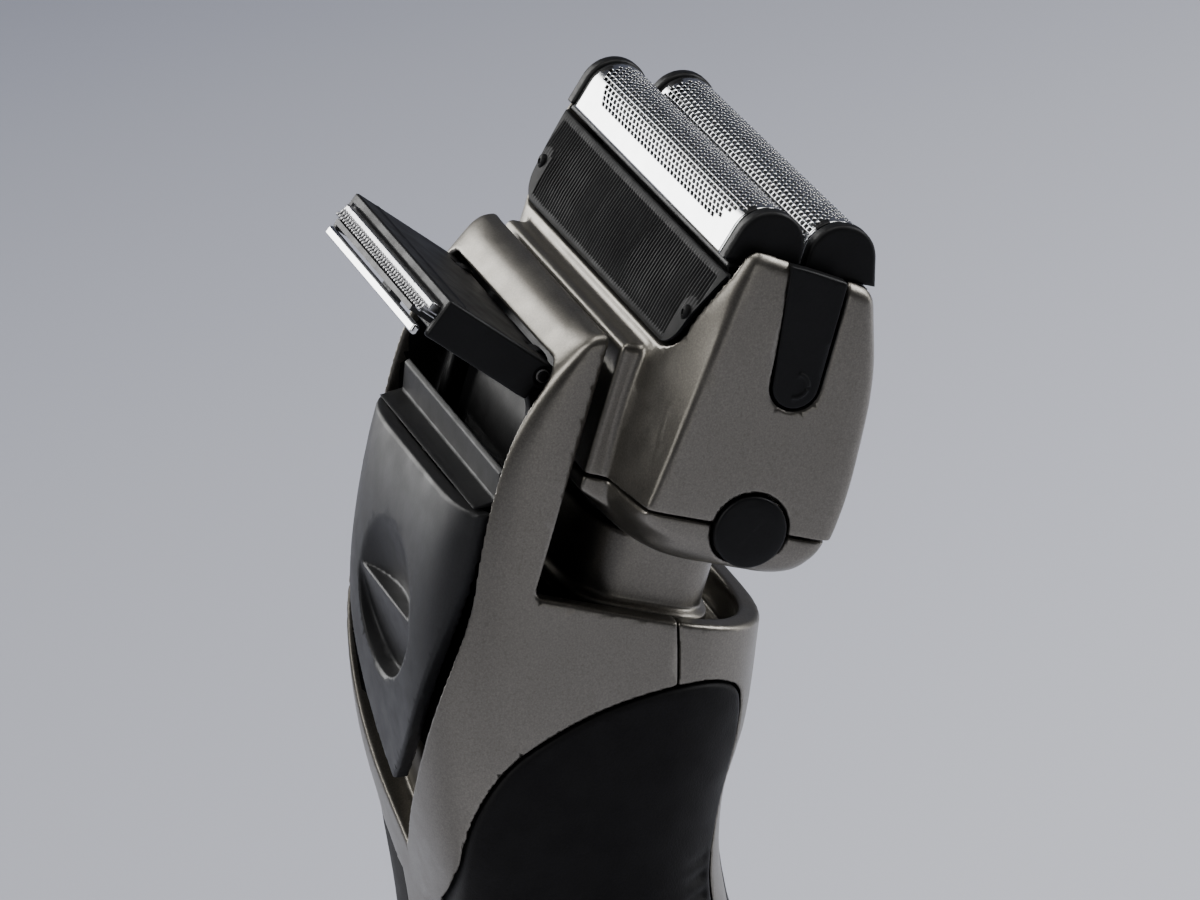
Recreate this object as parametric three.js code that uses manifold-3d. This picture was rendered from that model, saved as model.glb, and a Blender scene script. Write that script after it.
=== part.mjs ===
// Twin-foil electric shaver with a leaning head and a flip-out hair trimmer.
// Millimetres, +Z up. The foils run along X. +Y is the thumb side, -Y is the back, where the trimmer
// and its slider sit. The shaver stands on its base cap at z = 0.
import * as THREE from 'three';
import { mergeVertices } from 'three/addons/utils/BufferGeometryUtils.js';
import Module from 'manifold-3d';

const wasm = await Module();
wasm.setup();

// ---------------------------------------------------------------- driving dimensions
const GAP = 0.3;                       // running clearance between neighbouring pieces
const FAR = 120;                       // reach of the boxes that cut whole regions away

// handle: height, half width, back reach, front reach, squareness of the back, squareness of the front
const HANDLE = [
  [0, 14.5, 12.5, 12.5, 2.6, 2.6],
  [5, 17.2, 14.6, 15.6, 2.6, 2.5],
  [20, 19.4, 15.7, 18.4, 2.7, 2.5],
  [42, 20.7, 15.9, 20.2, 2.9, 2.5],
  [60, 21.3, 16.5, 18.6, 3.4, 2.5],
  [71, 21.5, 18.2, 16.8, 4.0, 2.5],
  [79, 21.7, 20.0, 17.3, 4.6, 2.5],
  [87, 21.9, 21.0, 19.5, 5.0, 2.7],
  [98, 22.0, 21.4, 20.4, 5.0, 3.2],
  [111, 21.8, 19.8, 22.0, 5.0, 3.2],
  [122, 21.5, 16.3, 22.0, 6.0, 3.2],
  [129, 21.4, 12.6, 22.0, 7.0, 3.2],
  [135, 21.3, 7.6, 22.0, 8.0, 3.2],
  [141, 21.2, 1.0, 22.0, 8.0, 3.2],
];
const SHELL_WALL = 2;
const BASE_HEIGHT = 5;
const SEAM_Y = 6.8;                    // plane where the rear and the front shell meet

// head: it leans forward and is modelled in its own frame, z = 0 on the seam of bowl and housing
const HEAD_Y = 10.1;
const HEAD_Z = 118.6;
const HEAD_LEAN = THREE.MathUtils.degToRad(17);
const HEAD = [
  [-6.2, 25.5, 8.0, 8.6, 3.6, 4.5],
  [-5, 28.2, 9.9, 10.6, 4.2, 6.5],
  [-2.5, 30.2, 11.2, 11.7, 6, 10],
  [0, 30.6, 11.8, 12.1, 14, 14],
  [14, 30.6, 11.7, 12.1, 14, 14],
  [20, 30.5, 10.8, 11.2, 14, 14],
  [26, 30.2, 8.9, 9.3, 14, 14],
  [31, 29.8, 7.0, 7.6, 14, 14],
];
const HOUSING_STEP = 0.4;              // the housing overhangs the bowl by this much
const HEAD_TOP = 30.6;
const HOOD_FACE = -16.2;               // front face of the hood, in the head's frame
const HOOD_WALL = 1.3;
const POCKET_RIM = -14.6;              // rim, floor and underside of the pocket below the head
const POCKET_FLOOR = -19.5;
const POCKET_UNDERSIDE = -21.5;

// neck and pivot, in the head's frame
const PIVOT_Y = -1.5;
const PIVOT_Z = -13;
const PIN_RADIUS = 1.5;
const NECK_HALF_WIDTH = 18;
const NECK_HALF_DEPTH = 8.7;
const NECK_SQUARENESS = 4;

// foils, in the head's frame
const FOIL_PITCH = 8.6;
const FOIL_RADIUS = 3.8;
const FOIL_AXIS_Z = 31;
const FOIL_SHEET = 0.5;
const FOIL_HALF_LENGTH = 25.5;
const FOIL_FLARE = THREE.MathUtils.degToRad(16);
const FOIL_EDGE_Z = 28.8;
const CAP_THICKNESS = 2;
const FRAME_TOP = 28.5;
const FRAME_UNDERSIDE = 27.8;

// ribbed side panels: half width at the top and at the bottom, corner radius, bottom and top height
const RIB_PANEL = { top: 28.6, bottom: 26.6, corner: 3.6, from: 17.3, to: 27.5 };
const RIVET_X = 25.6;
const RIVET_Z = 21.6;

// release buttons at both ends of the head
const DISC_Y = 2;
const DISC_RADIUS = 4.15;
const STRIP = { y: 2.1, z: 17.2, radius: 2.7, topY: 1.0, topHalf: 3.5 };

// leaf-shaped opening in the back of the body
const LEAF = { tip: 71.9, halfWidth: 19.7, shoulder: 110, top: 136.4, corner: 2.5 };
const BAY_FLOOR = 105;                 // the trimmer bay is deep above this height
const SLIDE_TRAVEL = 6;
const PANEL_TOP = 118.9;

// flip-out trimmer, modelled along its own -Y from the hinge
const HINGE_Y = -7.6;
const HINGE_Z = 133.9;
const TRIMMER_RISE = THREE.MathUtils.degToRad(38);
const TRIMMER = { half: 18.3, top: 1.5, underside: -3.3, reach: 14.4, wall: 1.2 };
const TOOTH_PITCH = 1.25;
const LUG = { from: 12.5, to: 14.5, radius: 1.8 };

// charging socket in the base
const SOCKET = { y: -5.6, width: 11, depth: 6.4, height: 9 };

// ---------------------------------------------------------------- colours and finishes
const FINISH = {
  pewter: { color: 0x8a857b, roughness: 0.38, metalness: 0.85 },
  black: { color: 0x1c1b1d, roughness: 0.42, metalness: 0 },
  dark_grey: { color: 0x3a3a3c, roughness: 0.36, metalness: 0 },
  rubber: { color: 0x1b1a1b, roughness: 0.8, metalness: 0 },
  chrome: { color: 0xdfe2e5, roughness: 0.12, metalness: 1 },
  steel: { color: 0xb4b7ba, roughness: 0.3, metalness: 1 },
  lens: { color: 0x3fae5a, roughness: 0.15, metalness: 0 },
  board: { color: 0x1f5a34, roughness: 0.5, metalness: 0 },
  cell: { color: 0x2f5f8f, roughness: 0.4, metalness: 0 },
  brass: { color: 0xb08d4a, roughness: 0.3, metalness: 1 },
};

// ---------------------------------------------------------------- solids
const QUARTER_TURN = Math.PI / 2;

/** A closed manifold solid from any closed three.js geometry. */
function solid(geometry) {
  let bare = geometry.clone();
  bare.deleteAttribute('normal');
  bare.deleteAttribute('uv');
  bare = mergeVertices(bare, 1e-5);
  const mesh = new wasm.Mesh({
    numProp: 3,
    vertProperties: new Float32Array(bare.attributes.position.array),
    triVerts: new Uint32Array(bare.index.array),
  });
  return new wasm.Manifold(mesh);
}

/** The three.js geometry of a manifold solid. */
function geometryOf(manifold) {
  const mesh = manifold.getMesh();
  const geometry = new THREE.BufferGeometry();
  geometry.setAttribute('position', new THREE.BufferAttribute(new Float32Array(mesh.vertProperties), 3));
  geometry.setIndex(new THREE.BufferAttribute(new Uint32Array(mesh.triVerts), 1));
  return geometry;
}

/** A block between two corners. */
function block(x0, x1, y0, y1, z0, z1) {
  const box = new THREE.BoxGeometry(x1 - x0, y1 - y0, z1 - z0);
  box.translate((x0 + x1) / 2, (y0 + y1) / 2, (z0 + z1) / 2);
  return solid(box);
}

/** A round bar along X. */
function barX(radius, x0, x1, y, z, around = 20) {
  const bar = new THREE.CylinderGeometry(radius, radius, x1 - x0, around);
  bar.rotateZ(-QUARTER_TURN);
  bar.translate((x0 + x1) / 2, y, z);
  return solid(bar);
}

/** A round bar along Z. */
function barZ(radius, z0, z1, x, y, around = 20) {
  const bar = new THREE.CylinderGeometry(radius, radius, z1 - z0, around);
  bar.rotateX(QUARTER_TURN);
  bar.translate(x, y, (z0 + z1) / 2);
  return solid(bar);
}

/** A prism whose outline is given in (Y, Z), running along X. */
function prismX(outline, x0, x1) {
  const prism = new THREE.ExtrudeGeometry(outline, { depth: x1 - x0, bevelEnabled: false, curveSegments: 8 });
  prism.applyMatrix4(new THREE.Matrix4().set(0, 0, 1, x0, 1, 0, 0, 0, 0, 1, 0, 0, 0, 0, 0, 1));
  return solid(prism);
}

/** A prism whose outline is given in (X, Z), running along Y. */
function prismY(outline, y0, y1) {
  const prism = new THREE.ExtrudeGeometry(outline, { depth: y1 - y0, bevelEnabled: false, curveSegments: 8 });
  prism.rotateX(QUARTER_TURN);
  prism.translate(0, y1, 0);
  return solid(prism);
}

/** A closed polygon through the given points. */
function polygon(points) {
  return new THREE.Shape(points.map(([a, b]) => new THREE.Vector2(a, b)));
}

/** The same outline moved outwards by a distance, all the way round (its points run counter-clockwise). */
function grown(points, distance) {
  return points.map(([a, b], i) => {
    const [pa, pb] = points.at(i - 1);
    const [na, nb] = points[(i + 1) % points.length];
    const before = new THREE.Vector2(b - pb, pa - a).normalize();
    const after = new THREE.Vector2(nb - b, a - na).normalize();
    const bisector = before.add(after).normalize();
    const stretch = distance / Math.max(0.5, bisector.dot(after));
    return [a + bisector.x * stretch, b + bisector.y * stretch];
  });
}

/** Evenly spaced points on a closed smooth curve through the given ones. */
function smoothLoop(points, count) {
  const curve = new THREE.CatmullRomCurve3(points.map(([a, b]) => new THREE.Vector3(a, b, 0)), true);
  return curve.getSpacedPoints(count).slice(0, count).map((p) => [p.x, p.y]);
}

/** Width, reaches and squareness of a body of stations at any height. */
function stationCurve(stations) {
  const heights = new Float32Array(stations.map((row) => row[0]));
  const values = new Float32Array(stations.flatMap((row) => row.slice(1)));
  return new THREE.CubicInterpolant(heights, values, stations[0].length - 1);
}

/** A point of a super-ellipse arc: the direction (c, s) pulled out towards the corners. */
function squared(c, s, exponent) {
  const pull = (t) => (Math.abs(t) < 1e-6 ? 0 : Math.sign(t) * Math.abs(t) ** (2 / exponent));
  return [pull(c), pull(s)];
}

/** A closed body through stations, moved inwards by an inset that may depend on the height. */
function loft(stations, { inset = 0, sideInset = inset, from, to, rows = 12, around = 40 }) {
  const curve = stationCurve(stations);
  const insetAt = typeof inset === 'function' ? inset : () => inset;
  const sideAt = typeof sideInset === 'function' ? sideInset : () => sideInset;
  const body = new THREE.CylinderGeometry(1, 1, 1, around, rows);
  const position = body.attributes.position;
  for (let i = 0; i < position.count; i += 1) {
    const z = from + (position.getY(i) + 0.5) * (to - from);
    const [half, back, front, squareBack, squareFront] = curve.evaluate(z);
    const c = position.getX(i);
    const s = -position.getZ(i);
    const [x, y] = squared(c, s, s > 0 ? squareFront : squareBack);
    const reach = (s > 0 ? front : back) - insetAt(z);
    position.setXYZ(i, x * (half - sideAt(z)), y * reach, z);
  }
  return solid(body);
}

const headFrame = new THREE.Matrix4().compose(
  new THREE.Vector3(0, HEAD_Y, HEAD_Z),
  new THREE.Quaternion().setFromAxisAngle(new THREE.Vector3(1, 0, 0), -HEAD_LEAN),
  new THREE.Vector3(1, 1, 1),
);

/** A solid made in the head's frame, moved to where it is on the body. */
function fromHead(manifold) {
  const e = headFrame.elements;
  return manifold.transform([...e]);
}

// ---------------------------------------------------------------- outlines
/** Half width of the leaf-shaped opening, from its tip up to its shoulder. */
function leafPoints(rise, inset, top) {
  const side = new THREE.CubicBezierCurve(
    new THREE.Vector2(0, LEAF.tip + rise + inset * 2),
    new THREE.Vector2(9.5 - inset, LEAF.tip + rise + 9),
    new THREE.Vector2(LEAF.halfWidth - inset, LEAF.shoulder + rise - 17),
    new THREE.Vector2(LEAF.halfWidth - inset, LEAF.shoulder + rise),
  ).getPoints(10).map((p) => [p.x, p.y]);
  const half = LEAF.halfWidth - inset;
  const corner = [0, 1, 2, 3].map((step) => {
    const angle = step * QUARTER_TURN / 3;
    return [half - LEAF.corner * (1 - Math.cos(angle)), top - LEAF.corner * (1 - Math.sin(angle))];
  });
  const right = [...side, ...corner];
  const left = right.slice(1).reverse().map(([x, z]) => [-x, z]);
  return [...right, ...left];
}

/** Outline of a side grip in (Y, Z), seen from +X. */
function gripPoints() {
  return smoothLoop([
    [12.6, 95.6], [8, 96.4], [0, 95.2], [-7, 92.6], [-12.6, 89], [-16, 83], [-17, 75], [-16.6, 60],
    [-15.6, 42], [-13, 22], [-6, 12.5], [6, 12.5], [14, 22], [16.4, 42], [14.6, 58], [12.2, 71],
    [14.4, 82], [15.2, 93.2],
  ], 36);
}

/** Outline of the front panel in (X, Z). */
function frontPanelPoints() {
  return smoothLoop([
    [0, 25.5], [6.5, 28], [9.4, 38], [10, 52], [9, 66], [7.6, 78], [5.4, 86], [0, 88.6],
    [-5.4, 86], [-7.6, 78], [-9, 66], [-10, 52], [-9.4, 38], [-6.5, 28],
  ], 28);
}

/** Outline of a ribbed panel in (X, Z). */
function ribPanelPoints() {
  const { top, bottom, corner, from, to } = RIB_PANEL;
  const round = [0, 1, 2, 3, 4].map((step) => {
    const angle = -QUARTER_TURN + step * QUARTER_TURN / 4;
    return [bottom - corner + corner * Math.cos(angle), from + corner + corner * Math.sin(angle)];
  });
  const right = [...round, [top, to]];
  return [...right, ...right.slice().reverse().map(([x, z]) => [-x, z])];
}

/** Outline of a foil release strip in (Y, Z): a round lower end that widens to a flat top. */
function stripPoints(grow) {
  const radius = STRIP.radius + grow;
  const round = [0, 1, 2, 3, 4, 5, 6, 7, 8].map((step) => {
    const angle = Math.PI + step * Math.PI / 8;
    return [STRIP.y + radius * Math.cos(angle), STRIP.z + radius * Math.sin(angle)];
  });
  const top = grow > 0 ? HEAD_TOP + 2 : HEAD_TOP - GAP;
  return [...round, [STRIP.topY + STRIP.topHalf + grow, top], [STRIP.topY - STRIP.topHalf - grow, top]];
}

/** Cross-section of a foil arch in (Y, Z): the flank away from the middle flares outwards. */
function archPoints(side, radius, edge) {
  const steps = 14;
  const from = 0;
  const to = Math.PI - FOIL_FLARE;
  const arc = Array.from({ length: steps + 1 }, (_, i) => {
    const angle = from + (to - from) * i / steps;
    return [-radius * Math.cos(angle) * side, FOIL_AXIS_Z + radius * Math.sin(angle)];
  });
  const [endY, endZ] = arc.at(-1);
  const run = (endZ - edge) * Math.tan(FOIL_FLARE);
  const inner = [-radius * side, edge];
  const outer = [endY + run * side, edge];
  const offset = side * FOIL_PITCH / 2;
  return [inner, ...arc, outer].map(([y, z]) => [y + offset, z]);
}

// ---------------------------------------------------------------- assembly helpers
const group = new THREE.Group();
const head = new THREE.Group();
const trimmer = new THREE.Group();
head.position.set(0, HEAD_Y, HEAD_Z);
head.rotation.x = -HEAD_LEAN;
trimmer.position.set(0, HINGE_Y, HINGE_Z);
trimmer.rotation.x = -TRIMMER_RISE;
group.add(head, trimmer);

/** Adds one named piece to a group. */
function piece(parent, name, manifold, finish) {
  const mesh = new THREE.Mesh(geometryOf(manifold), new THREE.MeshStandardMaterial(FINISH[finish]));
  mesh.name = name;
  parent.add(mesh);
}

const mirrored = (manifold) => manifold.scale([-1, 1, 1]);
const SIDES = [['right', (m) => m], ['left', mirrored]];

// ---------------------------------------------------------------- body shells
const gripOutline = gripPoints();
const gripZone = prismX(polygon(grown(gripOutline, GAP)), 5, 40);
const recessSkin = loft(HANDLE, { inset: -3, from: 8, to: 104, rows: 4, around: 24 })
  .subtract(loft(HANDLE, { inset: 1.6, from: 7, to: 105, rows: 12, around: 32 }));
const frontZone = prismY(polygon(grown(frontPanelPoints(), GAP)), 5, 40);

const leafZone = prismY(polygon(leafPoints(0, 0, LEAF.top)), -40, 0);
const recessDepth = (z) => 3 + 2.2 * (z - LEAF.tip) / (PANEL_TOP - LEAF.tip);
const slideRecess = leafZone.subtract(
  loft(HANDLE, { inset: recessDepth, sideInset: 0, from: 60, to: 140, rows: 12, around: 32 }),
);
const bay = leafZone
  .intersect(block(-FAR, FAR, -FAR, FAR, BAY_FLOOR, FAR * 2))
  .intersect(fromHead(block(-FAR, FAR, -FAR, HOOD_FACE - HOOD_WALL, -FAR, FAR)));

const aboveRim = fromHead(block(-FAR, FAR, HOOD_FACE, FAR, POCKET_RIM, FAR));
const pocket = loft(HANDLE, { inset: 2.4, from: 80, to: 130, rows: 6 })
  .intersect(fromHead(block(-FAR, FAR, HOOD_FACE, FAR, POCKET_FLOOR, POCKET_RIM + 2)));
const cavity = loft(HANDLE, { inset: SHELL_WALL, from: 1, to: 112, rows: 9, around: 24 })
  .intersect(fromHead(block(-FAR, FAR, -FAR, FAR, -FAR * 2, POCKET_UNDERSIDE)))
  .subtract(block(-FAR, FAR, -FAR, -15.2, 66, FAR));
const neckHole = fromHead(block(-13.6, 13.6, PIVOT_Y - 5.6, PIVOT_Y + 5.6, POCKET_UNDERSIDE - 1, POCKET_FLOOR + 1));

const bodyShell = loft(HANDLE, { from: BASE_HEIGHT + GAP, to: 140.4, rows: 16, around: 36 })
  .subtract(aboveRim)
  .subtract(pocket)
  .subtract(cavity)
  .subtract(neckHole)
  .subtract(slideRecess)
  .subtract(bay)
  .subtract(recessSkin.intersect(gripZone))
  .subtract(recessSkin.intersect(mirrored(gripZone)))
  .subtract(recessSkin.intersect(frontZone));
piece(group, 'rear_shell', bodyShell.intersect(block(-FAR, FAR, -FAR, SEAM_Y, -FAR, FAR * 2)), 'pewter');
piece(group, 'front_shell', bodyShell.intersect(block(-FAR, FAR, SEAM_Y + GAP / 2, FAR, -FAR, FAR * 2)), 'pewter');

// rubber grips wrap both sides, a little proud of the shells
const gripSkin = loft(HANDLE, { inset: -0.3, from: 8, to: 104, rows: 14, around: 36 })
  .subtract(loft(HANDLE, { inset: 1.6 - GAP, from: 7, to: 105, rows: 12, around: 32 }));
const grip = gripSkin.intersect(prismX(polygon(gripOutline), 5, 40));
for (const [side, place] of SIDES) {
  piece(group, `grip_${side}`, place(grip), 'rubber');
}

// ---------------------------------------------------------------- front panel and power button
const BUTTON = { z: 56, halfWidth: 5.2, halfHeight: 7.2 };
const buttonOutline = (grow) => Array.from({ length: 24 }, (_, i) => {
  const angle = i * Math.PI / 12;
  return [
    (BUTTON.halfWidth + grow) * Math.cos(angle),
    BUTTON.z + (BUTTON.halfHeight + grow) * Math.sin(angle),
  ];
});
const LIGHT = { z: 40, radius: 1.3 };
const panelSkin = loft(HANDLE, { inset: -0.15, from: 20, to: 95, rows: 12 })
  .subtract(loft(HANDLE, { inset: 1.6 - GAP, from: 7, to: 105, rows: 12, around: 32 }));
const lightHole = (radius) => prismY(
  new THREE.Shape().absarc(0, LIGHT.z, radius, 0, Math.PI * 2),
  10,
  40,
);
const frontPanel = panelSkin
  .intersect(prismY(polygon(frontPanelPoints()), 5, 40))
  .subtract(prismY(polygon(buttonOutline(GAP)), 5, 40))
  .subtract(lightHole(LIGHT.radius + GAP));
piece(group, 'front_panel', frontPanel, 'dark_grey');

const buttonSkin = loft(HANDLE, { inset: -0.9, from: 40, to: 75, rows: 6 })
  .subtract(loft(HANDLE, { inset: 0.55, from: 39, to: 76, rows: 4, around: 24 }));
piece(group, 'power_button', buttonSkin.intersect(prismY(polygon(buttonOutline(0)), 5, 40)), 'black');
piece(group, 'charge_light', panelSkin.intersect(lightHole(LIGHT.radius)), 'lens');

// ---------------------------------------------------------------- base cap and charging socket
const socketBlock = (halfX, halfY, z0, z1) => block(-halfX, halfX, SOCKET.y - halfY, SOCKET.y + halfY, z0, z1);
const socketHole = socketBlock(SOCKET.width / 2 + GAP, SOCKET.depth / 2 + GAP, -1, FAR);
const BASE_SCREW_X = 11.2;
const plug = loft(HANDLE, { inset: SHELL_WALL + 1.3, from: 2.5, to: 8.5, rows: 1, around: 24 })
  .subtract(loft(HANDLE, { inset: SHELL_WALL + 2.9, from: 2.5, to: 12, rows: 1, around: 24 })
    .intersect(block(-FAR, FAR, -FAR, FAR, 3, FAR)));
let baseCap = loft(HANDLE, { from: 0, to: BASE_HEIGHT, rows: 3, around: 36 })
  .subtract(loft(HANDLE, { inset: SHELL_WALL + 2.9, from: 3, to: 12, rows: 1, around: 24 }))
  .add(plug)
  .subtract(socketHole);
for (const x of [-BASE_SCREW_X, BASE_SCREW_X]) {
  baseCap = baseCap.subtract(barZ(0.9 + GAP, -1, FAR, x, 0)).subtract(barZ(1.9 + GAP, -1, 1.6, x, 0));
}
piece(group, 'base_cap', baseCap, 'black');

const PIN = { x: 2.1, radius: 0.7 };
let socket = socketBlock(SOCKET.width / 2, SOCKET.depth / 2, 0.5, 0.5 + SOCKET.height)
  .subtract(socketBlock(4.4, 2.2, -1, 7));
for (const x of [-PIN.x, PIN.x]) {
  socket = socket.subtract(barZ(PIN.radius + GAP, -1, FAR, x, SOCKET.y, 16));
}
piece(group, 'charging_socket', socket, 'black');
for (const [side, place] of SIDES) {
  piece(group, `socket_pin_${side}`, place(barZ(PIN.radius, 4.6, 11, PIN.x, SOCKET.y, 16)), 'brass');
  const screw = barZ(0.9, 0.9, 6.6, BASE_SCREW_X, 0, 16).add(barZ(1.9, 0.4, 1.3, BASE_SCREW_X, 0));
  piece(group, `base_screw_${side}`, place(screw), 'steel');
}

// ---------------------------------------------------------------- battery, board and chassis
const CELL = { y: 1.5, radius: 7, from: 14, to: 63 };
const cellShape = barZ(CELL.radius, CELL.from, CELL.to, 0, CELL.y, 32)
  .add(barZ(2.6, CELL.to - 1, CELL.to + 1.2, 0, CELL.y));
piece(group, 'battery_cell', cellShape, 'cell');
const tab = (z) => block(-4, 4, CELL.y - 2.5, CELL.y + 2.5, z, z + 0.5);
piece(group, 'battery_tab_upper', tab(CELL.to + 1.5), 'steel');
piece(group, 'battery_tab_lower', tab(CELL.from - 0.8), 'steel');
const chassis = block(-9.4, 9.4, -9, 3.5, 12.2, 66.4)
  .subtract(barZ(CELL.radius + GAP, CELL.from - GAP, CELL.to + GAP, 0, CELL.y, 32))
  .subtract(block(-6.4, 6.4, -6.4, 20, CELL.from - 1.1, CELL.from))
  .subtract(block(-6.4, 6.4, -6.4, 20, CELL.to - 1, CELL.to + 2.3))
  .subtract(block(-5.5, 5.5, -20, -4, 20, 58));
piece(group, 'battery_chassis', chassis, 'black');
const board = block(-9, 9, 11.4, 12.8, 22, 88).add(block(-2, 2, 12.6, 14.4, 52, 58));
piece(group, 'circuit_board', board, 'board');

// ---------------------------------------------------------------- motor, in the head's frame
const MOTOR = { radius: 8.4, from: -50.5, to: -25.2 };
const ECCENTRIC = 1.2;
const motorCan = barZ(MOTOR.radius, MOTOR.from, MOTOR.to, 0, PIVOT_Y, 32)
  .subtract(barZ(1.3, MOTOR.to - 18, FAR, 0, PIVOT_Y, 16));
piece(head, 'drive_motor', motorCan, 'steel');
const rotor = barZ(1, MOTOR.to - 17, -18, 0, PIVOT_Y, 16)
  .add(barZ(3.4, -19.4, -16.6, 0, PIVOT_Y))
  .add(barZ(1, -17, 4.2, ECCENTRIC, PIVOT_Y, 16));
piece(head, 'motor_rotor', rotor, 'steel');

// ---------------------------------------------------------------- neck, pivot and seal
const POST = { from: 9.2, to: 12.4, half: 3.4 };
let pivotFrame = block(-16.5, 16.5, PIVOT_Y - 7.5, PIVOT_Y + 7.5, -24.4, POCKET_UNDERSIDE - GAP)
  .subtract(barZ(4.6, -FAR, FAR, 0, PIVOT_Y));
for (const x of [-POST.to, POST.from]) {
  const post = block(x, x + POST.to - POST.from, PIVOT_Y - POST.half, PIVOT_Y + POST.half, -22.5, PIVOT_Z)
    .add(barX(POST.half, x, x + POST.to - POST.from, PIVOT_Y, PIVOT_Z));
  pivotFrame = pivotFrame.add(post);
}
pivotFrame = pivotFrame.subtract(barX(PIN_RADIUS + GAP, -FAR, FAR, PIVOT_Y, PIVOT_Z, 20));
piece(head, 'pivot_frame', pivotFrame, 'steel');
for (const [side, place] of SIDES) {
  piece(head, `head_pivot_pin_${side}`, place(barX(PIN_RADIUS, 8.6, 17.4, PIVOT_Y, PIVOT_Z, 20)), 'steel');
}

/** An upright oval body about the pivot, in the head's frame. */
function oval(halfX, halfY, z0, z1, around = 32) {
  const bar = new THREE.CylinderGeometry(1, 1, z1 - z0, around);
  bar.rotateX(QUARTER_TURN);
  const position = bar.attributes.position;
  for (let i = 0; i < position.count; i += 1) {
    const [x, y] = squared(position.getX(i), position.getY(i), NECK_SQUARENESS);
    position.setXYZ(i, x * halfX, PIVOT_Y + y * halfY, position.getZ(i) + (z0 + z1) / 2);
  }
  return solid(bar);
}
const neckScrew = { x: 15.4, radius: 0.8 };
let neck = oval(NECK_HALF_WIDTH, NECK_HALF_DEPTH, -16.4, -6.5)
  .add(oval(NECK_HALF_WIDTH + 0.9, NECK_HALF_DEPTH + 0.9, -16.4, -14.6))
  .subtract(block(-13.4, 13.4, PIVOT_Y - 5.4, PIVOT_Y + 5.4, -20, 0))
  .subtract(barX(PIN_RADIUS + GAP, -NECK_HALF_WIDTH + 0.4, NECK_HALF_WIDTH - 0.4, PIVOT_Y, PIVOT_Z, 20));
for (const x of [-neckScrew.x, neckScrew.x]) {
  neck = neck.subtract(barZ(neckScrew.radius + GAP, -10.8, 0, x, PIVOT_Y, 16));
}
piece(head, 'neck', neck, 'pewter');
const seal = oval(16.4, 7.6, POCKET_FLOOR + GAP, -18.5).subtract(oval(14, 5.9, -FAR, 0));
piece(head, 'neck_seal', seal, 'rubber');

// ---------------------------------------------------------------- head bowl and housing
const BOSS_HALF_WIDTH = 21.3;
const BOSS_FACE = -14.7;
const discHole = (radius) => barX(radius, 26, 40, DISC_Y, 0, 32);
const bowlBoss = prismX(
  polygon([[-10.5, 0], [BOSS_FACE, 0], [BOSS_FACE + 0.2, -1.6], [-11.6, -2.9], [-10.5, -2.9]].reverse()),
  -BOSS_HALF_WIDTH,
  BOSS_HALF_WIDTH,
);
let bowl = loft(HEAD, { from: -6.2, to: 0, rows: 6, around: 40 })
  .add(bowlBoss)
  .subtract(loft(HEAD, { inset: 2, from: -4.2, to: 1, rows: 2, around: 24 }))
  .subtract(block(-13.4, 13.4, PIVOT_Y - 5.4, PIVOT_Y + 5.4, -8, 0))
  .subtract(discHole(DISC_RADIUS + GAP))
  .subtract(mirrored(discHole(DISC_RADIUS + GAP)));
for (const x of [-neckScrew.x, neckScrew.x]) {
  bowl = bowl.subtract(barZ(neckScrew.radius + GAP, -FAR, FAR, x, PIVOT_Y, 16));
}
piece(head, 'head_bowl', bowl, 'pewter');
for (const [side, place] of SIDES) {
  const screw = barZ(neckScrew.radius, -10.2, -3, neckScrew.x, PIVOT_Y, 16)
    .add(barZ(1.7, -3.8, -2.6, neckScrew.x, PIVOT_Y, 20));
  piece(head, `neck_screw_${side}`, place(screw), 'steel');
}

const boss = prismX(
  polygon([[-10.5, GAP], [-10.5, 15.6], [-11.6, 15.6], [BOSS_FACE + 0.5, 14.6], [BOSS_FACE, 13.2], [BOSS_FACE, GAP]]
    .reverse()),
  -BOSS_HALF_WIDTH,
  BOSS_HALF_WIDTH,
);
const panelOutline = ribPanelPoints();
/** Outline of the window that holds a ribbed panel, open at the top. */
function windowPoints() {
  const side = grown(panelOutline, GAP);
  const half = side.length / 2;
  return [...side.slice(0, half), [RIB_PANEL.top + 0.9, 40], [-RIB_PANEL.top - 0.9, 40], ...side.slice(half)];
}
const panelWindow = prismY(polygon(windowPoints()), -40, 40);
const stripSlot = prismX(polygon(stripPoints(GAP)), 25, 40);
const housing = loft(HEAD, { inset: -HOUSING_STEP, from: GAP, to: HEAD_TOP, rows: 7, around: 36 })
  .add(boss)
  .subtract(loft(HEAD, { inset: 1.7, from: -1, to: 31, rows: 5, around: 24 }))
  .subtract(panelWindow)
  .subtract(discHole(DISC_RADIUS + GAP))
  .subtract(mirrored(discHole(DISC_RADIUS + GAP)))
  .subtract(stripSlot)
  .subtract(mirrored(stripSlot));
piece(head, 'head_housing', housing, 'pewter');

// release buttons
const disc = barX(DISC_RADIUS, 28.4, 31.2, DISC_Y, 0, 32);
const strip = prismX(polygon(stripPoints(0)), 29.1, 30.7);
for (const [side, place] of SIDES) {
  piece(head, `head_release_${side}`, place(disc), 'black');
  piece(head, `foil_release_${side}`, place(strip), 'black');
}

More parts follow.
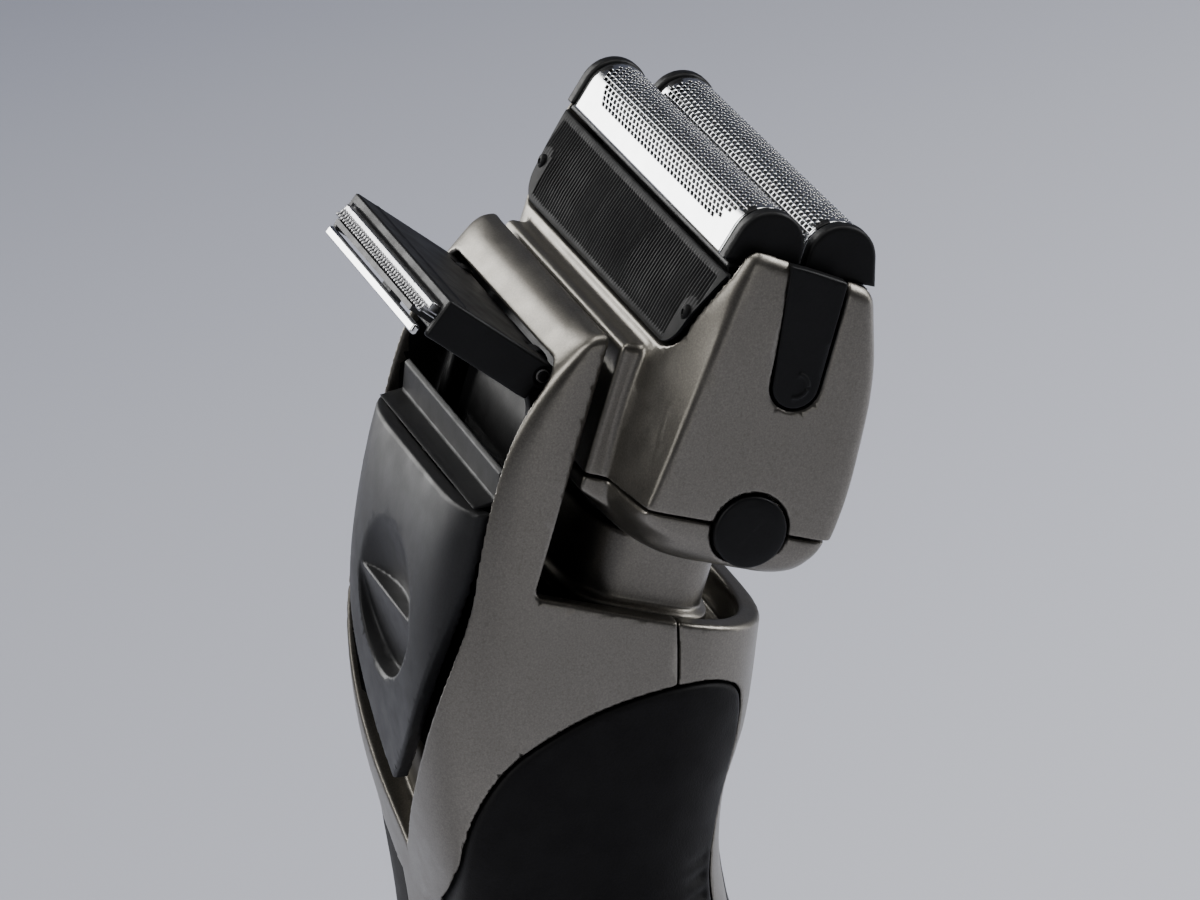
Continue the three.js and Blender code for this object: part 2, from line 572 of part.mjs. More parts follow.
// ---------------------------------------------------------------- cutters
const CUTTER_RADIUS = FOIL_RADIUS - FOIL_SHEET - 0.5;
const POST_Z = 25;
const CUTTER_STROKE = 1;
const slotHalf = ECCENTRIC + 1 + CUTTER_STROKE + GAP;
let bridge = block(-16, 16, -8.6, 5.6, 2.6, 6.2)
  .subtract(block(-slotHalf, slotHalf, -7.2, 4.4, 0, 4.8));
for (const side of [-1, 1]) {
  const y = side * FOIL_PITCH / 2;
  bridge = bridge.add(block(-3, 3, y - 1.2, y + 1.2, 5, POST_Z));
  const blade = barX(CUTTER_RADIUS, -23.5, 23.5, y, FOIL_AXIS_Z, 24)
    .intersect(block(-FAR, FAR, -FAR, FAR, FOIL_AXIS_Z - 0.6, FAR))
    .add(block(-22, 22, y - 1.3, y + 1.3, POST_Z + GAP, FOIL_AXIS_Z));
  piece(head, side < 0 ? 'cutter_rear' : 'cutter_front', blade, 'steel');
}
piece(head, 'cutter_bridge', bridge, 'black');

// ---------------------------------------------------------------- foil cassette
const FRAME_END = { from: 26.2, to: 27.4, halfDepth: 4.6, underside: 18.5 };
const RIVET_SEAT = { from: 25.1, to: 26.4, halfDepth: 7, underside: 20.2, top: 23 };
const FRAME_OPENING = { halfLength: 25, halfDepth: 7.6 };   // the cutters pass through it as the cassette lifts
const frameEnd = block(
  FRAME_END.from, FRAME_END.to, -FRAME_END.halfDepth, FRAME_END.halfDepth, FRAME_END.underside, FRAME_TOP,
).add(block(
  RIVET_SEAT.from, RIVET_SEAT.to, -RIVET_SEAT.halfDepth, RIVET_SEAT.halfDepth, RIVET_SEAT.underside, RIVET_SEAT.top,
));
const foilFrame = block(-27.6, 27.6, -8.6, 8.6, FRAME_UNDERSIDE, FRAME_TOP)
  .subtract(block(
    -FRAME_OPENING.halfLength, FRAME_OPENING.halfLength,
    -FRAME_OPENING.halfDepth, FRAME_OPENING.halfDepth, 0, 60,
  ))
  .add(frameEnd)
  .add(mirrored(frameEnd))
  .add(block(-25.5, 25.5, -0.5, 0.5, FRAME_UNDERSIDE, FRAME_TOP));
piece(head, 'foil_frame', foilFrame, 'black');

const rivetHole = (x, radius, y0, y1) => {
  const shank = new THREE.CylinderGeometry(radius, radius, y1 - y0, 16);
  shank.translate(x, (y0 + y1) / 2, RIVET_Z);
  return solid(shank);
};
const ribSkin = loft(HEAD, { inset: -HOUSING_STEP, from: 16, to: 29, rows: 5, around: 40 })
  .subtract(loft(HEAD, { inset: 0.8, from: 15, to: 30, rows: 5, around: 40 }));
const ribPanel = ribSkin.intersect(prismY(polygon(panelOutline), -40, 0))
  .subtract(block(
    -FRAME_OPENING.halfLength, FRAME_OPENING.halfLength,
    -FRAME_OPENING.halfDepth, FRAME_OPENING.halfDepth, 0, 60,
  ))
  .subtract(rivetHole(RIVET_X, 0.6 + GAP, -40, 0))
  .subtract(rivetHole(-RIVET_X, 0.6 + GAP, -40, 0));
const flipped = (manifold) => manifold.rotate([0, 0, 180]);
piece(head, 'rib_panel_rear', ribPanel, 'black');
piece(head, 'rib_panel_front', flipped(ribPanel), 'black');
for (const [side, place] of SIDES) {
  const rivet = rivetHole(RIVET_X, 0.6, -9.9, -RIVET_SEAT.halfDepth - GAP);
  piece(head, `panel_rivet_rear_${side}`, place(rivet), 'steel');
  piece(head, `panel_rivet_front_${side}`, place(flipped(mirrored(rivet))), 'steel');
}

const FOILS = [['rear', -1], ['front', 1]];
for (const [name, side] of FOILS) {
  const outline = (radius, edge) => {
    const points = archPoints(side, radius, edge);
    return polygon(side < 0 ? points : points.reverse());
  };
  const foil = prismX(outline(FOIL_RADIUS, FOIL_EDGE_Z), -FOIL_HALF_LENGTH, FOIL_HALF_LENGTH)
    .subtract(prismX(outline(FOIL_RADIUS - FOIL_SHEET, FOIL_EDGE_Z - 1), -40, 40));
  piece(head, `foil_${name}`, foil, 'chrome');
  const capFrom = FOIL_HALF_LENGTH + GAP;
  const cap = prismX(outline(FOIL_RADIUS + 0.25, FOIL_EDGE_Z), capFrom, capFrom + CAP_THICKNESS)
    .intersect(block(-FAR, FAR, side < 0 ? -FAR : GAP / 2, side < 0 ? -GAP / 2 : FAR, -FAR, FAR));
  for (const [end, place] of SIDES) {
    piece(head, `foil_cap_${name}_${end}`, place(cap), 'black');
  }
}

// ---------------------------------------------------------------- slider panel
const panelZone = prismY(polygon(leafPoints(SLIDE_TRAVEL + 0.6, 0.7, PANEL_TOP + 3)), -40, 0)
  .intersect(block(-FAR, FAR, -FAR, FAR, 0, PANEL_TOP));
const DISH = { z: 103.2, radius: 9.8 };
const dish = new THREE.CylinderGeometry(DISH.radius, DISH.radius - 0.6, 3, 40);
dish.translate(0, -21.9, DISH.z);
const sliderSkin = loft(HANDLE, { inset: 0.4, sideInset: 0, from: 70, to: 124, rows: 10, around: 32 })
  .subtract(loft(HANDLE, { inset: 2.2, sideInset: 0, from: 69, to: 125, rows: 8, around: 32 }));
const ledge = prismX(polygon([[-21.2, 103.4], [-20, 103.4], [-20, 98], [-20.4, 98]].reverse()), -6.5, 6.5);
const sliderPanel = sliderSkin.intersect(panelZone).subtract(solid(dish)).add(ledge);
piece(group, 'slider_panel', sliderPanel, 'dark_grey');
const shelf = prismX(
  polygon([[-16.2, 119.2], [-15.2, 119.2], [-12.4, 122.2], [-12.4, 123.4], [-13.2, 123.4]]),
  -16.5,
  16.5,
);
piece(group, 'slider_shelf', shelf, 'black');

// ---------------------------------------------------------------- flip-out trimmer
const { half, top, underside, reach, wall } = TRIMMER;
const hingeEnd = Array.from({ length: 9 }, (_, i) => {
  const angle = -0.25 * Math.PI + i * 0.75 * Math.PI / 8;
  return [top * Math.cos(angle), top * Math.sin(angle)];
});
const trimmerProfile = [[-reach, underside], [0, underside], ...hingeEnd, [-reach, top]];
const hollow = block(-half + wall, half - wall, -reach - 1, 2.2, underside - 1, top - wall);
const trimmerHousing = prismX(polygon(trimmerProfile), -half, half)
  .subtract(hollow)
  .subtract(barX(LUG.radius + 0.4, -LUG.to - GAP, -LUG.from + GAP, 0, 0))
  .subtract(barX(LUG.radius + 0.4, LUG.from - GAP, LUG.to + GAP, 0, 0))
  .subtract(barX(0.8 + GAP, -FAR, FAR, 0, 0, 16));
piece(trimmer, 'trimmer_housing', trimmerHousing, 'black');
piece(trimmer, 'trimmer_pivot_pin', barX(0.8, -half + 0.1, half - 0.1, 0, 0, 16), 'steel');

const COMB_HALF = 16.6;
let comb = block(-COMB_HALF, COMB_HALF, -15.4, -12.2, -1.4, -0.6);
const teeth = Math.floor(2 * COMB_HALF / TOOTH_PITCH);
for (let i = 0; i <= teeth; i += 1) {
  const x = (i - teeth / 2) * TOOTH_PITCH;
  comb = comb.add(block(x - 0.3, x + 0.3, -17, -15, -1.4, -0.7));
}
piece(trimmer, 'trimmer_comb', comb, 'steel');
const trimmerCutter = block(-14.5, 14.5, -16, -11, -2.3, -1.7).add(block(-1.5, 1.5, -13, -11.2, -4.4, -2));
piece(trimmer, 'trimmer_cutter', trimmerCutter, 'steel');
const guardBar = block(-COMB_HALF, COMB_HALF, -15.6, -14.6, -4.4, -2.6);
piece(trimmer, 'trimmer_guard_bar', guardBar, 'chrome');

// the carrier stands in the bay and holds the trimmer's pin between two lugs
let carrier = block(-LUG.to, LUG.to, -13, -11.2, 110, 113);
for (const x of [-LUG.to, LUG.from]) {
  const arm = prismX(
    polygon([[-13, 110], [-11.2, 110], [-9.7, 115], [-7.5, 122.5], [-5.9, 129], [-6, HINGE_Z],
      [-9.3, HINGE_Z], [-7.9, 128.5], [-9.3, 122.5], [-11.4, 115]]),
    x,
    x + LUG.to - LUG.from,
  );
  carrier = carrier.add(arm).add(barX(LUG.radius, x, x + LUG.to - LUG.from, HINGE_Y, HINGE_Z));
}
carrier = carrier.subtract(barX(0.8 + GAP, -FAR, FAR, HINGE_Y, HINGE_Z, 16));
piece(group, 'trimmer_carrier', carrier, 'black');

export default group;
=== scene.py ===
"""The looks of a twin-foil electric shaver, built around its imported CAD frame.

The file is laid out as an add-on and is run as a script. Shaped pieces are made as
signed distance fields sampled on a grid, in millimetres, and turned into meshes, so that
every edge gets its own small radius. Foils, ribs, teeth and turned pieces are made face by face.
"""

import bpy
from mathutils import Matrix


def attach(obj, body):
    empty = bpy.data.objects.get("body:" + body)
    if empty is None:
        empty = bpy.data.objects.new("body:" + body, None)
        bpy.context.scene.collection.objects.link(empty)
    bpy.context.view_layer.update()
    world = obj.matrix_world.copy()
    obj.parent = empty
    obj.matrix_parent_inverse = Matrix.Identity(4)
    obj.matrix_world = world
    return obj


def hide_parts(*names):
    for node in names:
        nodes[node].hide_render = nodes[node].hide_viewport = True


bl_info = {
    "name": "Foil shaver looks",
    "version": (1, 0, 0),
    "blender": (4, 5, 0),
    "location": "3D View > Sidebar > Shaver",
    "description": "Builds the shells, head, foils, trimmer and finishes of an electric shaver",
    "category": "Object",
}

import math

import bmesh
import bpy
import numpy as np
import openvdb
from bpy.props import FloatProperty, FloatVectorProperty, PointerProperty
from mathutils import Matrix, Vector

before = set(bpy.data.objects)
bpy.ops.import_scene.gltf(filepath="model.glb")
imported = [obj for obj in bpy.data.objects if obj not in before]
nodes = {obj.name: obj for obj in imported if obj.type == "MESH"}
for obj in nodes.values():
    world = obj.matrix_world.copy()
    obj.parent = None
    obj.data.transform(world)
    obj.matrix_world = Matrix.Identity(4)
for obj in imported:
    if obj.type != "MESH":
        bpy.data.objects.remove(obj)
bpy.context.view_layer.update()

MM = 0.001
GAP = 0.3
SIDES = (("right", 1), ("left", -1))

# handle sections in millimetres: height, half width, back reach, front reach,
# and the squareness of the back and the front
HANDLE = (
    (0, 14.5, 12.5, 12.5, 2.6, 2.6),
    (5, 17.2, 14.6, 15.6, 2.6, 2.5),
    (20, 19.4, 15.7, 18.4, 2.7, 2.5),
    (42, 20.7, 15.9, 20.2, 2.9, 2.5),
    (60, 21.3, 16.5, 18.6, 3.4, 2.5),
    (71, 21.5, 18.2, 16.8, 4.0, 2.5),
    (79, 21.7, 20.0, 17.3, 4.6, 2.5),
    (87, 21.9, 21.0, 19.5, 5.0, 2.7),
    (98, 22.0, 21.4, 20.4, 5.0, 3.2),
    (111, 21.8, 19.8, 22.0, 5.0, 3.2),
    (122, 21.5, 16.3, 22.0, 6.0, 3.2),
    (129, 21.4, 12.6, 22.0, 7.0, 3.2),
    (135, 21.3, 7.6, 22.0, 8.0, 3.2),
    (141, 21.2, 1.0, 22.0, 8.0, 3.2),
)
SHELL_WALL = 2.0
BASE_HEIGHT = 5.0
SEAM_Y = 6.8
HOOD_TOP = 138.8

# the head is shaped in its own frame, z = 0 on the seam of bowl and housing
HEAD_Y = 10.1
HEAD_Z = 118.6
HEAD_LEAN = math.radians(17)
HEAD = (
    (-6.2, 25.5, 8.0, 8.6, 3.6, 4.5),
    (-5, 28.2, 9.9, 10.6, 4.2, 6.5),
    (-2.5, 30.2, 11.2, 11.7, 6, 10),
    (0, 30.6, 11.8, 12.1, 14, 14),
    (14, 30.6, 11.7, 12.1, 14, 14),
    (20, 30.5, 10.8, 11.2, 14, 14),
    (26, 30.2, 8.9, 9.3, 14, 14),
    (31, 29.8, 7.0, 7.6, 14, 14),
)
HOUSING_STEP = 0.4
HEAD_TOP = 30.6
HOOD_FACE = -16.2
HOOD_WALL = 1.3
POCKET_RIM = -14.6
POCKET_FLOOR = -19.5
POCKET_UNDERSIDE = -21.5
PIVOT_Y = -1.5
PIVOT_Z = -13.0
NECK_HALF_WIDTH = 18.0
NECK_HALF_DEPTH = 8.7
NECK_SQUARENESS = 4.0
NECK_FOOT = 0.9
WELL_HALF_X = 13.4
WELL_HALF_Y = 5.4
NECK_SCREW_X = 15.4
NECK_SCREW_BORE = 1.1
EAR_TOP = 29.9
EAR_SLOPE = 0.13
BUTTON_Y = 2
BUTTON_RADIUS = 4.15
STRIP_Y = 2.1
STRIP_Z = 17.2

# foils
FOIL_PITCH = 8.6
FOIL_RADIUS = 3.8
FOIL_AXIS_Z = 31.0
FOIL_HALF_LENGTH = 25.5
FOIL_FLARE = math.radians(16)
FOIL_EDGE_Z = 28.8
FRAME_TOP = 28.5
FRAME_UNDERSIDE = 27.8
RIVET_X = 25.6
RIVET_Z = 21.6

# leaf-shaped opening, slider and trimmer
LEAF_TIP = 71.9
LEAF_HALF = 19.7
LEAF_SHOULDER = 110.0
LEAF_TOP = 135.7
LEAF_CORNER = 2.5
BAY_FLOOR = 105.0
PANEL_TOP = 118.9
DISH_Z = 103.2
DISH_RADIUS = 9.8
HINGE_Y = -7.6
HINGE_Z = 133.9
TRIMMER_RISE = math.radians(38)
TRIMMER_HALF = 18.3
TRIMMER_REACH = 14.4
TRIMMER_INSIDE = 17.2
TRIMMER_ARMS = (12.5, 14.5)
COMB_HALF = 16.6


def upright(lean, y, z):
    """The place of a leaning group: turned about X and moved, in millimetres."""
    return Matrix.Translation((0, y, z)) @ Matrix.Rotation(-lean, 4, "X")


IN_BODY = Matrix.Identity(4)
IN_HEAD = upright(HEAD_LEAN, HEAD_Y, HEAD_Z)
IN_TRIMMER = upright(TRIMMER_RISE, HINGE_Y, HINGE_Z)


# ------------------------------------------------------------------ fields
class Space:
    """Sample points of one piece: x, y and z in millimetres on a regular grid."""

    def __init__(self, low, high, step):
        self.step = step * 1.0
        self.low = np.array(low, float) - 2 * self.step
        high = np.array(high, float) + 2 * self.step
        counts = np.ceil((high - self.low) / self.step).astype(int) + 1
        lines = [
            (self.low[i] + self.step * np.arange(counts[i])).astype(np.float32)
            for i in range(3)
        ]
        self.x, self.y, self.z = np.ix_(*lines)
        self.shape = tuple(counts)


class Places:
    """Single points, in millimetres, that a field can be asked about."""

    def __init__(self, points):
        self.x, self.y, self.z = points.T


def both(a, b, radius=0.0):
    """Where both fields are solid, with a rounded edge between them."""
    if radius <= 0:
        return np.maximum(a, b)
    outer = np.hypot(np.maximum(a + radius, 0), np.maximum(b + radius, 0))
    return np.minimum(np.maximum(a, b), -radius) + outer


def either(a, b, radius=0.0):
    """Where either field is solid, with a fillet between them."""
    return -both(-a, -b, radius)


def cut(a, b, radius=0.0):
    """The first field with the second taken away."""
    return both(a, -b, radius)


def between(t, low, high, radius=0.0):
    """A slab between two values of a coordinate."""
    return both(low - t, t - high, radius)


def brick(space, low, high, radius=0.0):
    """A box with all its edges rounded."""
    low, high = np.array(low, float), np.array(high, float)
    middle, half = (low + high) / 2, (high - low) / 2 - radius
    q = [np.abs(t - m) - h for t, m, h in zip((space.x, space.y, space.z), middle, half)]
    outside = np.sqrt(sum(np.maximum(t, 0) ** 2 for t in q))
    inside = np.minimum(np.maximum(np.maximum(q[0], q[1]), q[2]), 0)
    return outside + inside - radius


def station_values(stations, heights):
    """Smooth sections and how fast they change, at each height."""
    rows = np.array(stations, float)
    t, v = rows[:, 0], rows[:, 1:]
    z = np.clip(heights, t[0], t[-1])
    after = np.clip(np.searchsorted(t, z, "right"), 1, len(t) - 1)
    before = after - 1
    prev = np.where(before > 0, before - 1, after)
    nxt = np.where(after < len(t) - 1, after + 1, before)
    half = (t[after] - t[before]) / 2
    wp = (half / (t[before] - t[prev]))[:, None]
    wn = (half / (t[nxt] - t[after]))[:, None]
    p = ((z - t[before]) / (t[after] - t[before]))[:, None]
    return (
        (-wp * p**3 + 2 * wp * p**2 - wp * p) * v[prev]
        + ((1 + wp) * p**3 + (-1.5 - 2 * wp) * p**2 + (-0.5 + wp) * p + 1) * v[before]
        + ((-1 - wn) * p**3 + (1.5 + wn) * p**2 + 0.5 * p) * v[after]
        + (wn * p**3 - wn * p**2) * v[nxt]
    )


def loft(space, stations, inset=0.0, side_inset=None):
    """Distance from a body of squared-oval sections; an inset may depend on the height."""
    heights = space.z.ravel().astype(float)

    def section(z):
        deep = inset(z) if callable(inset) else inset
        side = deep if side_inset is None else side_inset
        half, back, front, square_back, square_front = station_values(stations, z).T
        rows = (half - side, back - deep, front - deep, square_back, square_front)
        return [t.astype(np.float32).reshape(space.z.shape) for t in rows]

    a, back, front, square_back, square_front = section(heights)
    above, below = section(heights + 0.1), section(heights - 0.1)
    da, d_back, d_front = ((above[i] - below[i]) / 0.2 for i in range(3))
    ahead = space.y > 0
    b, db = np.where(ahead, front, back), np.where(ahead, d_front, d_back)
    n = np.where(ahead, square_front, square_back)
    u = np.maximum(np.abs(space.x) / a, 1e-4)
    w = np.maximum(np.abs(space.y) / b, 1e-4)
    un, wn = u**n, w**n
    total = un + wn
    g = total ** (1 / n)
    scale = g / total
    gx = scale * un / u / a
    gy = scale * wn / w / b
    gz = scale * (un * da / a + wn * db / b)
    return (g - 1) / np.sqrt(gx**2 + gy**2 + gz**2)


def outline_field(a, b, points):
    """Signed distance from a closed outline in a plane."""
    best = np.full(np.broadcast_shapes(a.shape, b.shape), 1e9, np.float32)
    inside = np.zeros(best.shape, bool)
    for (pa, pb), (qa, qb) in zip(points, [*points[1:], points[0]]):
        ea, eb = qa - pa, qb - pb
        wa, wb = a - pa, b - pb
        t = np.clip((wa * ea + wb * eb) / max(ea * ea + eb * eb, 1e-9), 0, 1)
        best = np.minimum(best, (wa - ea * t) ** 2 + (wb - eb * t) ** 2)
        if abs(eb) > 1e-9:
            crosses = (pb <= b) != (qb <= b)
            inside ^= crosses & (a < pa + wb * ea / eb)
    return np.where(inside, -1, 1) * np.sqrt(best)


def smooth_loop(points, steps=4):
    """A closed smooth curve through the points, as a finer outline."""
    p = np.array(points, float)
    out = []
    for i in range(len(p)):
        p0, p1, p2, p3 = (p[(i + k) % len(p)] for k in (-1, 0, 1, 2))
        d0, d1, d2 = (np.linalg.norm(q - r) ** 0.5 for q, r in ((p1, p0), (p2, p1), (p3, p2)))
        m1 = d1 * ((p1 - p0) / d0 - (p2 - p0) / (d0 + d1) + (p2 - p1) / d1)
        m2 = d1 * ((p2 - p1) / d1 - (p3 - p1) / (d1 + d2) + (p3 - p2) / d2)
        for s in np.arange(steps) / steps:
            h = (2 * s**3 - 3 * s**2 + 1, s**3 - 2 * s**2 + s, 3 * s**2 - 2 * s**3, s**3 - s**2)
            out.append(tuple(h[0] * p1 + h[1] * m1 + h[2] * p2 + h[3] * m2))
    return out


def in_head(space):
    """The head's own y and z at the points of a body-frame space."""
    y, z = space.y - HEAD_Y, space.z - HEAD_Z
    c, s = math.cos(HEAD_LEAN), math.sin(HEAD_LEAN)
    return y * c - z * s, y * s + z * c


def leaf_points(rise, inset, top):
    """Outline of the leaf-shaped opening in (X, Z)."""
    ends = ((0, LEAF_TIP + rise + inset * 2), (LEAF_HALF - inset, LEAF_SHOULDER + rise))
    bends = ((9.5 - inset, LEAF_TIP + rise + 9), (LEAF_HALF - inset, LEAF_SHOULDER + rise - 17))
    side = []
    for s in np.linspace(0, 1, 25):
        w = ((1 - s) ** 3, 3 * s * (1 - s) ** 2, 3 * s * s * (1 - s), s**3)
        row = (ends[0], bends[0], bends[1], ends[1])
        side.append(tuple(sum(k * p[i] for k, p in zip(w, row)) for i in (0, 1)))
    half = LEAF_HALF - inset
    for angle in np.linspace(0, math.pi / 2, 6):
        side.append(
            (
                half - LEAF_CORNER * (1 - math.cos(angle)),
                top - LEAF_CORNER * (1 - math.sin(angle)),
            )
        )
    return side + [(-x, z) for x, z in side[:0:-1]]


GRIP_LOOP = smooth_loop(
    (
        (12.6, 95.6), (8, 96.4), (0, 95.2), (-7, 92.6), (-12.6, 89), (-16, 83), (-17, 75),
        (-16.6, 60), (-15.6, 42), (-13, 22), (-6, 12.5), (6, 12.5), (14, 22), (16.4, 42),
        (14.6, 58), (12.2, 71), (14.4, 82), (15.2, 93.2),
    )
)
FRONT_LOOP = smooth_loop(
    (
        (0, 25.5), (6.5, 28), (9.4, 38), (10, 52), (9, 66), (7.6, 78), (5.4, 86), (0, 88.6),
        (-5.4, 86), (-7.6, 78), (-9, 66), (-10, 52), (-9.4, 38), (-6.5, 28),
    )
)


# ------------------------------------------------------------------ meshes
def sample(field, points):
    """Field values at points given in grid steps."""
    top = np.array(field.shape) - 2
    base = np.clip(np.floor(points).astype(int), 0, top)
    f = points - base
    total = 0
    for dx in (0, 1):
        for dy in (0, 1):
            for dz in (0, 1):
                w = (
                    np.where(dx, f[:, 0], 1 - f[:, 0])
                    * np.where(dy, f[:, 1], 1 - f[:, 1])
                    * np.where(dz, f[:, 2], 1 - f[:, 2])
                )
                total = total + w * field[base[:, 0] + dx, base[:, 1] + dy, base[:, 2] + dz]
    return total


def skin(name, space, field, place=IN_BODY, adapt=0.02):
    """A mesh object of a field's surface, with its normals taken from the field."""
    field = np.ascontiguousarray(np.broadcast_to(field, space.shape), np.float32)
    grid = openvdb.FloatGrid()
    grid.copyFromArray(np.clip(field, -4 * space.step, 4 * space.step))
    points, triangles, quads = grid.convertToPolygons(0.0, adapt)
    points = points.astype(float)
    normals = np.zeros_like(points)
    for axis in range(3):
        shift = np.zeros(3)
        shift[axis] = 0.6
        normals[:, axis] = sample(field, points + shift) - sample(field, points - shift)
    normals /= np.maximum(np.linalg.norm(normals, axis=1), 1e-9)[:, None]
    turn = np.array(place.to_3x3())
    world = (space.low + points * space.step) @ turn.T + np.array(place.translation)
    normals = normals @ turn.T
    faces = [tuple(f) for kind in (quads, triangles) for f in kind[:, ::-1].tolist()]
    mesh = bpy.data.meshes.new(name)
    mesh.from_pydata((world * MM).tolist(), [], faces)
    facing = sum(
        float(np.dot(mesh.polygons[i].normal, normals[mesh.polygons[i].vertices[0]]))
        for i in range(0, len(mesh.polygons), max(1, len(mesh.polygons) // 50))
    )
    if facing < 0:
        mesh.flip_normals()
    mesh.validate()
    mesh.shade_smooth()
    mesh.normals_split_custom_set_from_vertices(normals.tolist())
    obj = bpy.data.objects.new(name, mesh)
    bpy.context.scene.collection.objects.link(obj)
    return obj


def from_faces(name, points, faces, place=IN_BODY, smooth_angle=40):
    """A mesh object from points in millimetres and faces; meeting points are joined."""
    bm = bmesh.new()
    made = [bm.verts.new(p) for p in points]
    for face in faces:
        bm.faces.new([made[i] for i in face])
    bmesh.ops.remove_doubles(bm, verts=bm.verts, dist=1e-4)
    bmesh.ops.recalc_face_normals(bm, faces=bm.faces)
    bm.transform(Matrix.Scale(MM, 4) @ place)
    mesh = bpy.data.meshes.new(name)
    bm.to_mesh(mesh)
    bm.free()
    obj = bpy.data.objects.new(name, mesh)
    bpy.context.scene.collection.objects.link(obj)
    mesh.shade_smooth()
    mesh.set_sharp_from_angle(angle=math.radians(smooth_angle))
    return obj


def turned(name, profile, axis_at, place, direction=1, around=64):
    """A turned piece about X: profile rows are (x, radius), axis_at is its (y, z)."""
    points, faces = [], []
    for x, radius in profile:
        for k in range(around):
            angle = 2 * math.pi * k / around
            points.append(
                (
                    x * direction,
                    axis_at[0] + radius * math.cos(angle),
                    axis_at[1] + radius * math.sin(angle),
                )
            )
    for i in range(len(profile) - 1):
        for k in range(around):
            a, b = i * around + k, i * around + (k + 1) % around
            faces.append((a, b, b + around, a + around))
    faces.append(tuple(range(around)))
    faces.append(tuple(range((len(profile) - 1) * around, len(profile) * around)))
    return from_faces(name, points, faces, place)


def sided_skin(name, space, field, direction, place=IN_BODY):
    """A skin for the right or the left side, from a field drawn for the right one."""
    obj = skin(name, space, field, place @ Matrix.Scale(direction, 4, (1, 0, 0)))
    if direction < 0:
        obj.data.flip_normals()
    return obj


def settle(obj, body, slot_name, material, *replaced):
    """Gives a finished piece its material and its body, and hides the nodes it stands for."""
    obj.data.materials.append(material)
    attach(obj, body)
    if replaced:
        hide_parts(*replaced)
    return obj


# ------------------------------------------------------------------ finishes
class Finish:
    """A node material under construction around one Principled shader."""

    def __init__(self, name, colour, metallic, roughness):
        self.material = bpy.data.materials.new(name)
        self.material.use_nodes = True
        self.tree = self.material.node_tree
        self.shader = self.tree.nodes["Principled BSDF"]
        self.shader.inputs["Metallic"].default_value = metallic
        self.colour = tuple(colour)
        self.roughness = roughness
        self.place = self.node("ShaderNodeTexCoord").outputs["Object"]
        self.height = None

    def node(self, kind, **settings):
        """A new node with values for its sockets or its own settings."""
        made = self.tree.nodes.new(kind)
        for key, value in settings.items():
            if key in made.inputs:
                made.inputs[key].default_value = value
            else:
                setattr(made, key, value)
        return made

    def link(self, source, target):
        """Joins an output to an input."""
        self.tree.links.new(source, target)

    def stretch(self, scale):
        """Object coordinates stretched per axis."""
        mapping = self.node("ShaderNodeMapping")
        mapping.inputs["Scale"].default_value = scale
        self.link(self.place, mapping.inputs["Vector"])
        return mapping.outputs["Vector"]

    def noise(self, scale, detail=3.0, vector=None):
        """A noise value on the object's coordinates."""
        made = self.node("ShaderNodeTexNoise", Scale=scale, Detail=detail)
        self.link(vector or self.place, made.inputs["Vector"])
        return made.outputs["Fac"]

    def spread(self, value, low, high, start=0.35, end=0.65):
        """A value remapped to run from low to high."""
        made = self.node("ShaderNodeMapRange")
        limits = {"From Min": start, "From Max": end, "To Min": low, "To Max": high}
        for key, number in limits.items():
            made.inputs[key].default_value = number
        self.link(value, made.inputs["Value"])
        return made.outputs["Result"]

    def math(self, operation, a, b):
        """One arithmetic step; each value is a number or an output."""
        made = self.node("ShaderNodeMath", operation=operation)
        for socket, value in zip(made.inputs, (a, b)):
            if isinstance(value, (int, float)):
                socket.default_value = value
            else:
                self.link(value, socket)
        return made.outputs["Value"]

    def tint(self, factor, colour, amount):
        """Mixes the colour so far towards another one by a factor."""
        made = self.node("ShaderNodeMix", data_type="RGBA")
        strength = self.math("MULTIPLY", factor, amount)
        self.link(strength, made.inputs["Factor"])
        if isinstance(self.colour, tuple):
            made.inputs[6].default_value = (*self.colour, 1)
        else:
            self.link(self.colour, made.inputs[6])
        made.inputs[7].default_value = (*colour, 1)
        self.colour = made.outputs[2]

    def bump(self, height, strength, distance):
        """Adds fine relief on top of the relief there is."""
        made = self.node("ShaderNodeBump", Strength=strength, Distance=distance)
        self.link(height, made.inputs["Height"])
        if self.height is not None:
            self.link(self.height, made.inputs["Normal"])
        self.height = made.outputs["Normal"]

    def worn_edges(self, colour, amount):
        """Lighter, slightly polished edges."""
        pointed = self.node("ShaderNodeNewGeometry").outputs["Pointiness"]
        edge = self.spread(pointed, 0.0, 1.0, 0.52, 0.6)
        broken = self.spread(self.noise(600.0, 4.0), 0.2, 1.0)
        self.tint(self.math("MULTIPLY", edge, broken), colour, amount)

    def done(self, rough_variation, rough_scale):
        """Joins colour, relief and a slightly uneven roughness to the shader."""
        shader = self.shader
        if isinstance(self.colour, tuple):
            shader.inputs["Base Color"].default_value = (*self.colour, 1)
        else:
            self.link(self.colour, shader.inputs["Base Color"])
        rough = self.spread(
            self.noise(rough_scale, 4.0),
            self.roughness - rough_variation,
            self.roughness + rough_variation,
        )
        self.link(rough, shader.inputs["Roughness"])
        if self.height is not None:
            self.link(self.height, shader.inputs["Normal"])
        return self.material


def scaled(colour, factor):
    """A colour made brighter or darker, up to white."""
    return tuple(min(1.0, c * factor) for c in colour)


